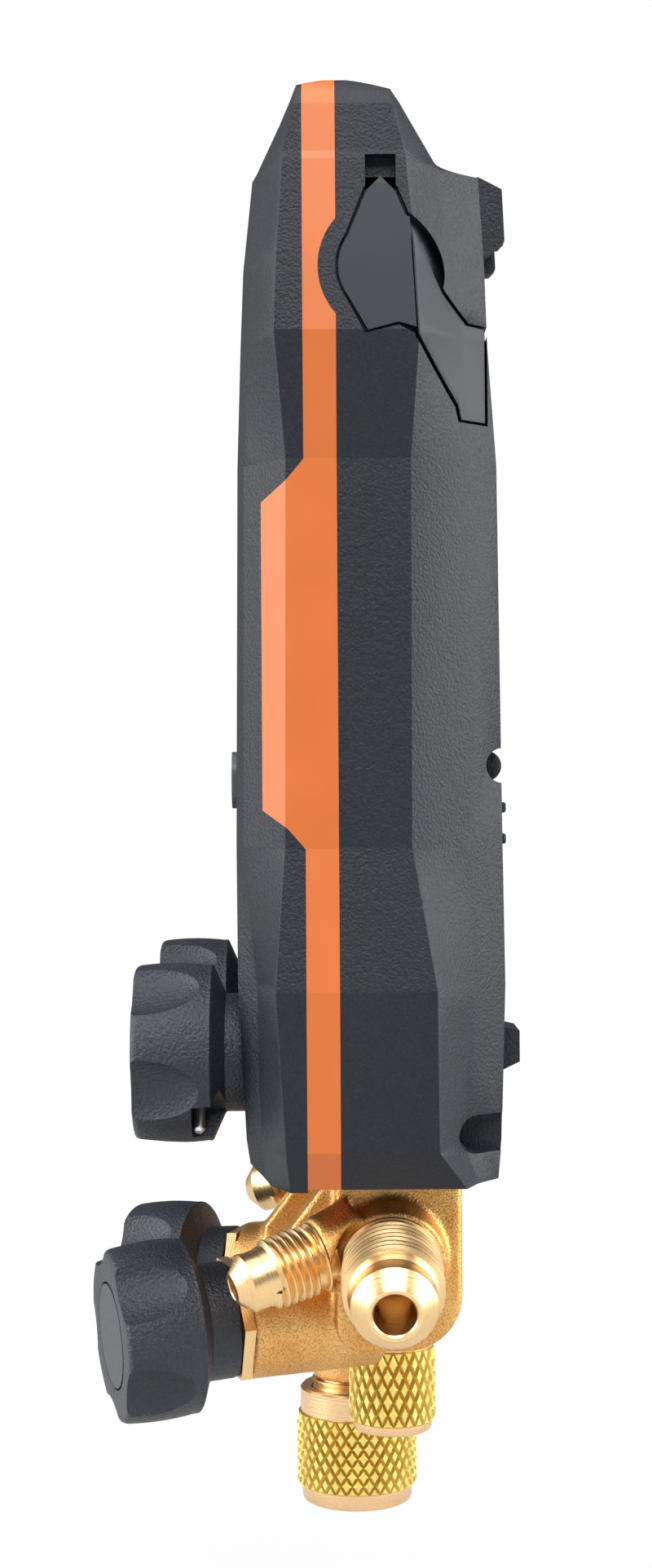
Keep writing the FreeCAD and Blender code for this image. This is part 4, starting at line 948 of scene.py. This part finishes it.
@dataclass
class FlarePort:
    """A machined flare port: thread, nose and 45 degree cone round its bore. Sizes are in millimetres."""

    node: str
    size: FlareSize
    station: Station
    foot_depth: float = 2.0
    foot_step: float = 1.2
    bead: Profile = ((-0.1, 0.02), (0.0, 0.15), (-0.1, 0.42))
    bead_end: float = 0.6
    thread_start: float = 0.55
    thread_past: float = 0.35
    core_past: float = 0.2
    nose_root: float = 0.3
    nose_edge: Profile = ((0.0, -0.15), (-0.2, 0.1))
    lip_share: float = 0.3
    bore_end: float = 1.0
    bore_tip: float = -0.9

    def build(self, frame: Frame) -> None:
        """Makes the port and has it stand for its CAD node.

        Args:
            frame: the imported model.
        """
        flare = self.size.value
        thread = Thread(flare.radius, flare.pitch, self.thread_start, flare.full + self.thread_past)
        foot = flare.radius - self.foot_step
        nose_end = flare.length + flare.nose_length
        front = nose_end + flare.nose - flare.tip
        lip = (flare.tip - flare.bore) * self.lip_share
        profile = [
            (0.0, -self.foot_depth),
            (foot, -self.foot_depth),
            (foot, 0.0),
            *((flare.radius + out, height) for out, height in self.bead),
            (thread.root, self.bead_end),
            (thread.root, flare.full + self.core_past),
            (flare.nose, flare.length - self.nose_root),
            *((flare.nose + out, nose_end + height) for out, height in self.nose_edge),
            (flare.tip + lip, front - lip),
            (flare.tip - lip * self.lip_share, front),
            (flare.bore + lip, front),
            (flare.bore, front - lip),
            (flare.bore, self.bore_end),
            (0.0, self.bore_tip),
            (0.0, -self.foot_depth),
        ]
        shape = spun(profile, TURNED_STEPS)
        thread.add_to(shape)
        place = self.station.frame()
        materials = [self.station.turned(self.node)]
        name = f"{self.node}_threaded"
        frame.add(shape, name, self.node, place, stands_for=True, sharp=24.0, materials=materials)


@dataclass
class KnurledCap:
    """A sealing cap with a diamond knurl between a plain collar and a plain ring. Sizes are in millimetres."""

    node: str
    station: Station
    start: float
    length: float
    radius: float
    collar_radius: float
    collar: float
    ring_radius: float
    ring: float
    hollow: float
    columns: int
    rows: int
    groove: float = 0.36
    rise: float = 0.42
    half_share: float = 0.6
    core_gap: float = 0.05
    top: float = 2.0
    mouth: float = 0.3
    collar_edge: float = 0.35
    step: float = 0.1
    end_edge: float = 0.9
    end_middle: tuple[float, float] = (0.25, 0.35)

    @property
    def end(self) -> float:
        """How far along the port the cap ends."""
        return self.start + self.length

    @property
    def band(self) -> tuple[float, float]:
        """Where the knurled band starts and ends."""
        return self.start + self.collar, self.end - self.ring

    def knurl(self) -> bmesh.types.BMesh:
        """The knurled band: a wall of diamonds, each raised above the grooves between them.

        Returns:
            The shape, whose groove walls have the second material, a darker brass that is painted shade in the
            grooves.
        """
        low, high = self.band
        base = self.radius - self.rise
        heights = [low + (high - low) * i / self.rows for i in range(self.rows + 1)]
        shape = spun([(base, height) for height in heights], self.columns)
        walls = [edge for edge in shape.edges if not edge.is_boundary]
        bmesh.ops.poke(shape, faces=shape.faces)
        bmesh.ops.dissolve_edges(shape, edges=walls, use_verts=False)
        for spot in shape.verts:
            if low + 0.01 < spot.co.z < high - 0.01:
                stretch = base / math.hypot(spot.co.x, spot.co.y)
                spot.co.x *= stretch
                spot.co.y *= stretch
        shape.normal_update()
        for face in shape.faces:
            middle = face.calc_center_median()
            if face.normal.x * middle.x + face.normal.y * middle.y < 0.0:
                face.normal_flip()
        whole = [face for face in shape.faces if len(face.verts) == 4]
        halves = [face for face in shape.faces if len(face.verts) == 3]
        for faces, share in ((whole, 1.0), (halves, self.half_share)):
            cut = bmesh.ops.inset_individual(
                shape, faces=faces, thickness=self.groove * share, depth=self.rise * share, use_even_offset=True
            )
            # The inset's walls take the darker brass: painted shade in the grooves.
            for face in cut["faces"]:
                face.material_index = 1
        return shape

    def build(self, frame: Frame) -> None:
        """Makes the cap in two pieces, the turned body and the knurled band.

        Args:
            frame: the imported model.
        """
        low, high = self.band
        core = self.radius - self.rise - self.core_gap
        across, down = self.end_middle
        profile = [
            (self.hollow, self.end - self.top),
            (self.hollow, self.start + self.mouth),
            (self.hollow + self.mouth, self.start),
            (self.collar_radius - self.collar_edge, self.start),
            (self.collar_radius, self.start + self.collar_edge),
            (self.collar_radius, low - self.step),
            (core, low),
            (core, high),
            (self.ring_radius, high + self.step),
            (self.ring_radius, self.end - self.end_edge),
            (self.ring_radius - across, self.end - down),
            (self.ring_radius - self.end_edge, self.end),
            (0.0, self.end),
            (0.0, self.end - self.top),
            (self.hollow, self.end - self.top),
        ]
        place = self.station.frame()
        name = f"{self.node}_body"
        plain = [self.station.turned(name, CAP_BRASS, 0.28)]
        body = spun(profile, TURNED_STEPS)
        frame.add(body, name, self.node, place, stands_for=True, sharp=28.0, materials=plain)
        # The second finish is the darker brass of the groove walls, painted shade.
        rolled = [FINISHES[slot].material() for slot in ("cap_brass", "groove_shade_brass")]
        frame.add(self.knurl(), f"{self.node}_knurl", self.node, place, sharp=12.0, materials=rolled)


# Cast block


@dataclass
class Casting:
    """The valve block as it leaves the mould: the CAD solid with every inner and outer corner run together."""

    node: str = "manifold_block"
    voxel: float = 0.55 * MM
    passes: int = 7

    def build(self, frame: Frame) -> None:
        """Makes the cast skin from a merged copy of the CAD solid.

        Args:
            frame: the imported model.
        """
        shape = bmesh.new()
        shape.from_mesh(frame.nodes[self.node].data)
        bmesh.ops.remove_doubles(shape, verts=shape.verts, dist=CAD_WELD)
        piece = frame.add(shape, "cast_block", self.node, Matrix.Identity(4), stands_for=True, sharp=180.0)
        skin = piece.modifiers.new("skin", "REMESH")
        skin.mode = "VOXEL"
        skin.voxel_size = self.voxel
        skin.use_smooth_shade = True
        soften = piece.modifiers.new("soften", "SMOOTH")
        soften.factor = 0.5
        soften.iterations = self.passes


# Casing and what it carries


@dataclass
class Casing:
    """The moulded casing: CAD solids whose edges are rounded as a mould's are."""

    edge: float = 0.45 * MM
    segments: int = 2
    edge_angle: float = 20.0
    rounded_nodes: tuple[str, ...] = (
        "front_cover", "rear_cover", "grip_frame", "socket_cover_right", "socket_cover_left",
        "socket_strap_right", "socket_strap_left", "battery_cover", "hanging_hook",
    )

    def build(self, frame: Frame) -> None:
        """Rounds the edges of the casing's mouldings.

        Args:
            frame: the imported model.
        """
        for node in self.rounded_nodes:
            item = frame.nodes[node]
            weld = item.modifiers.new("weld", "WELD")
            weld.merge_threshold = CAD_WELD
            soft = item.modifiers.new("edges", "BEVEL")
            soft.width = self.edge
            soft.segments = self.segments
            soft.limit_method = "ANGLE"
            soft.angle_limit = math.radians(self.edge_angle)
            soft.harden_normals = True


@dataclass
class LidLatch:
    """The battery cover's latch bar, in the middle of the groove, and its two finger ribs. In millimetres."""

    bar_half: float = 38.0
    bar_radius: float = 2.4
    bar_y: float = 28.4
    bar_z: float = 11.0
    rib_half: float = 24.0
    rib_back: float = 29.8
    rib_front: float = 32.5
    rib_height: float = 1.7
    rib_levels: tuple[float, float] = (4.3, -0.8)
    edge: float = 0.4

    def build(self, frame: Frame) -> None:
        """Makes the bar and the ribs.

        Args:
            frame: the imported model.
        """
        scale = Matrix.Scale(MM, 4)
        length = 2 * self.bar_half
        ends = [(0.0, 0.0), (self.bar_radius, 0.0), (self.bar_radius, length), (0.0, length)]
        bar = spun(rounded(ends, self.edge), 48)
        along = Matrix.Rotation(math.pi / 2, 4, "Y")
        place = scale @ Matrix.Translation((-self.bar_half, self.bar_y, self.bar_z)) @ along
        frame.add(bar, "latch_bar", "rear_cover", place)
        ribs = bmesh.new()
        depth = self.rib_front - self.rib_back
        size = Matrix.Diagonal((2 * self.rib_half, depth, self.rib_height, 1.0))
        for level in self.rib_levels:
            middle = Matrix.Translation((0.0, self.rib_back + depth / 2, level))
            bmesh.ops.create_cube(ribs, size=1.0, matrix=middle @ size)
        bmesh.ops.bevel(
            ribs, geom=ribs.edges[:], offset=self.edge, segments=3, profile=0.5, affect="EDGES", material=-1
        )
        frame.add(ribs, "latch_finger_ribs", "rear_cover", scale)


# Studio


@dataclass(frozen=True)
class Softbox:
    """An area lamp: its name, its place, its width and height in metres, and its watts."""

    name: str
    place: Point
    size: tuple[float, float]
    power: float


@dataclass
class Studio:
    """A pale floor, soft lamps that face the object and the camera of the photograph."""

    softboxes: tuple[Softbox, ...] = (
        Softbox("left_softbox", (0.12, -1.10, 0.25), (0.9, 1.2), 19.0),
        Softbox("right_softbox", (0.12, 1.10, 0.25), (0.9, 1.2), 19.0),
        Softbox("top_softbox", (0.10, 0.0, 1.10), (1.0, 1.0), 8.0),
        Softbox("high_softbox", (0.95, 0.0, 0.85), (1.0, 0.5), 15.0),
    )
    aim: Point = (0.0, 0.0, 0.0)
    white: tuple[float, float, float, float] = (1.0, 1.0, 1.0, 1.0)
    floor_level: float = -0.152
    floor_half: float = 6.0
    floor_grey: float = 0.52
    floor_glow: float = 0.92
    floor_glow_rise: float = 0.08
    floor_glow_edges: tuple[float, float] = (0.05, 0.35)
    mirrored_middle: float = 0.16
    mirrored_rise: float = 0.84
    mirrored_edges: tuple[float, float] = (0.50, 0.95)
    light_middle: float = 0.10
    light_rise: float = 0.45
    light_edges: tuple[float, float] = (0.30, 0.80)
    camera_place: Point = (0.430, 0.0031, 0.0083)
    camera_lens: float = 57.08
    camera_sensor: float = 36.0
    camera_roll: float = 0.00625
    camera_reach: tuple[float, float] = (0.01, 30.0)

    def build(self) -> None:
        """Builds floor, world, lamps and camera."""
        self.floor()
        self.world()
        for softbox in self.softboxes:
            self.lamp(softbox)
        self.camera()

    def floor(self) -> None:
        """A wide pale floor under the object."""
        shape = bmesh.new()
        bmesh.ops.create_grid(shape, x_segments=1, y_segments=1, size=self.floor_half)
        shape.transform(Matrix.Translation((0.0, 0.0, self.floor_level)))
        data = bpy.data.meshes.new("floor")
        shape.to_mesh(data)
        shape.free()
        item = bpy.data.objects.new("floor", data)
        bpy.context.scene.collection.objects.link(item)
        made = bpy.data.materials.new("floor_paper")
        paper = Shader(made)
        grey = (self.floor_grey, self.floor_grey, self.floor_grey, 1.0)
        diffuse = paper.node("ShaderNodeBsdfDiffuse", {}, {"Color": grey})
        glow = paper.node("ShaderNodeEmission", {}, {"Color": self.white, "Strength": 1.0})
        spread = paper.vector("LENGTH", {0: paper.place()}, "Value").above(*self.floor_glow_edges)
        seen = paper.node("ShaderNodeLightPath") * (self.floor_glow + spread * self.floor_glow_rise)
        both = paper.node("ShaderNodeMixShader", {}, {0: seen, 1: diffuse, 2: glow})
        paper.node("ShaderNodeOutputMaterial", {}, {"Surface": both})
        data.materials.append(made)

    def world(self) -> None:
        """White for the camera and through glass, dimmer in reflections and as light."""
        room = bpy.data.worlds.new("studio")
        bpy.context.scene.world = room
        sky = Shader(room)
        rays = sky.node("ShaderNodeLightPath")
        seen = rays.largest(rays.beside("Is Transmission Ray"))
        mirrored = rays.beside("Is Glossy Ray")
        way = sky.node("ShaderNodeTexCoord", output="Generated")
        side = sky.node("ShaderNodeSeparateXYZ", {}, {0: way}, "Y").size()
        walls = self.mirrored_middle + side.above(*self.mirrored_edges) * self.mirrored_rise
        light = self.light_middle + side.above(*self.light_edges) * self.light_rise
        strength = seen.largest(mirrored * walls).largest(light)
        glow = sky.node("ShaderNodeBackground", {}, {"Color": self.white, "Strength": strength})
        sky.node("ShaderNodeOutputWorld", {}, {"Surface": glow})

    def lamp(self, softbox: Softbox) -> None:
        """Sets up one lamp.

        Args:
            softbox: the lamp's place, size and power.
        """
        data = bpy.data.lights.new(softbox.name, "AREA")
        data.shape = "RECTANGLE"
        data.size, data.size_y = softbox.size
        data.energy = softbox.power
        item = bpy.data.objects.new(softbox.name, data)
        item.location = softbox.place
        way = Vector(self.aim) - Vector(softbox.place)
        item.rotation_euler = way.to_track_quat("-Z", "Y").to_euler()
        bpy.context.scene.collection.objects.link(item)

    def camera(self) -> None:
        """The photograph's camera: level with the casing's middle, looking along -X."""
        data = bpy.data.cameras.new("camera")
        data.sensor_width = self.camera_sensor
        data.lens = self.camera_lens
        data.clip_start, data.clip_end = self.camera_reach
        item = bpy.data.objects.new("camera", data)
        right = Vector((0.0, 1.0, -self.camera_roll))
        up = Vector((0.0, self.camera_roll, 1.0))
        turn = Matrix((right, up, right.cross(up))).transposed().to_4x4()
        item.matrix_world = Matrix.Translation(self.camera_place) @ turn
        bpy.context.scene.collection.objects.link(item)
        bpy.context.scene.camera = item
        bpy.context.scene.view_settings.view_transform = "Standard"


# The whole part


def build_valves(frame: Frame) -> None:
    """Makes the four knobs and gives each valve's bonnet and piston rings round its axis.

    Args:
        frame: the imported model.
    """
    for knob in (
        StarKnob("low", KnobKind.CASE, phase=14.0),
        StarKnob("high", KnobKind.CASE, phase=15.5),
        StarKnob("refrigerant", KnobKind.SERVICE, phase=3.3),
        StarKnob("vacuum", KnobKind.SERVICE, phase=8.0),
    ):
        knob.build(frame)
        station = frame.valve(knob.valve)
        for node in (f"{knob.valve}_bonnet", f"{knob.valve}_piston"):
            frame.dress(node, station.turned(node))
    origin = (frame.valve("low").origin + frame.valve("high").origin) / 2
    frame.dress("sight_glass_ring", Station(origin, Vector((0, -1, 0))).turned("sight_glass_ring"))


def build_ports(frame: Frame) -> None:
    """Makes the six flare ports and the two caps.

    Args:
        frame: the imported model.
    """
    for node, mount, size in (
        ("side_port_right", "side_hose_port_right", FlareSize.THREE_EIGHTHS),
        ("side_port_left", "side_hose_port_left", FlareSize.THREE_EIGHTHS),
        ("hose_park_right", "hose_park_stub_right", FlareSize.PARK),
        ("hose_park_left", "hose_park_stub_left", FlareSize.PARK),
    ):
        half_thread = size.value.full / 2 * MM
        FlarePort(node, size, frame.port(mount, half_thread)).build(frame)
    FlarePort("refrigerant_port", FlareSize.QUARTER, frame.port("refrigerant_flare")).build(frame)
    FlarePort("vacuum_port", FlareSize.THREE_EIGHTHS, frame.port("vacuum_flare")).build(frame)
    KnurledCap(
        "refrigerant_cap",
        frame.port("refrigerant_flare"),
        start=0.6,
        length=16.4,
        radius=7.4,
        collar_radius=7.05,
        collar=1.9,
        ring_radius=6.75,
        ring=1.8,
        hollow=5.656,
        columns=24,
        rows=3,
    ).build(frame)
    KnurledCap(
        "vacuum_cap",
        frame.port("vacuum_flare"),
        start=1.4,
        length=20.3,
        radius=10.6,
        collar_radius=10.0,
        collar=4.4,
        ring_radius=9.7,
        ring=3.0,
        hollow=8.04,
        columns=33,
        rows=4,
    ).build(frame)


def main() -> None:
    """Builds every sub-assembly and dresses the CAD nodes."""
    logging.basicConfig(level=logging.INFO, format="%(message)s")
    frame = Frame()
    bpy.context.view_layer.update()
    Studio().build()
    for node in frame.nodes:
        if frame.slots[node] != "turned_brass":
            frame.dress(node)
    build_valves(frame)
    build_ports(frame)
    Casting().build(frame)
    Casing().build(frame)
    LidLatch().build(frame)


if __name__ == "__main__":
    main()
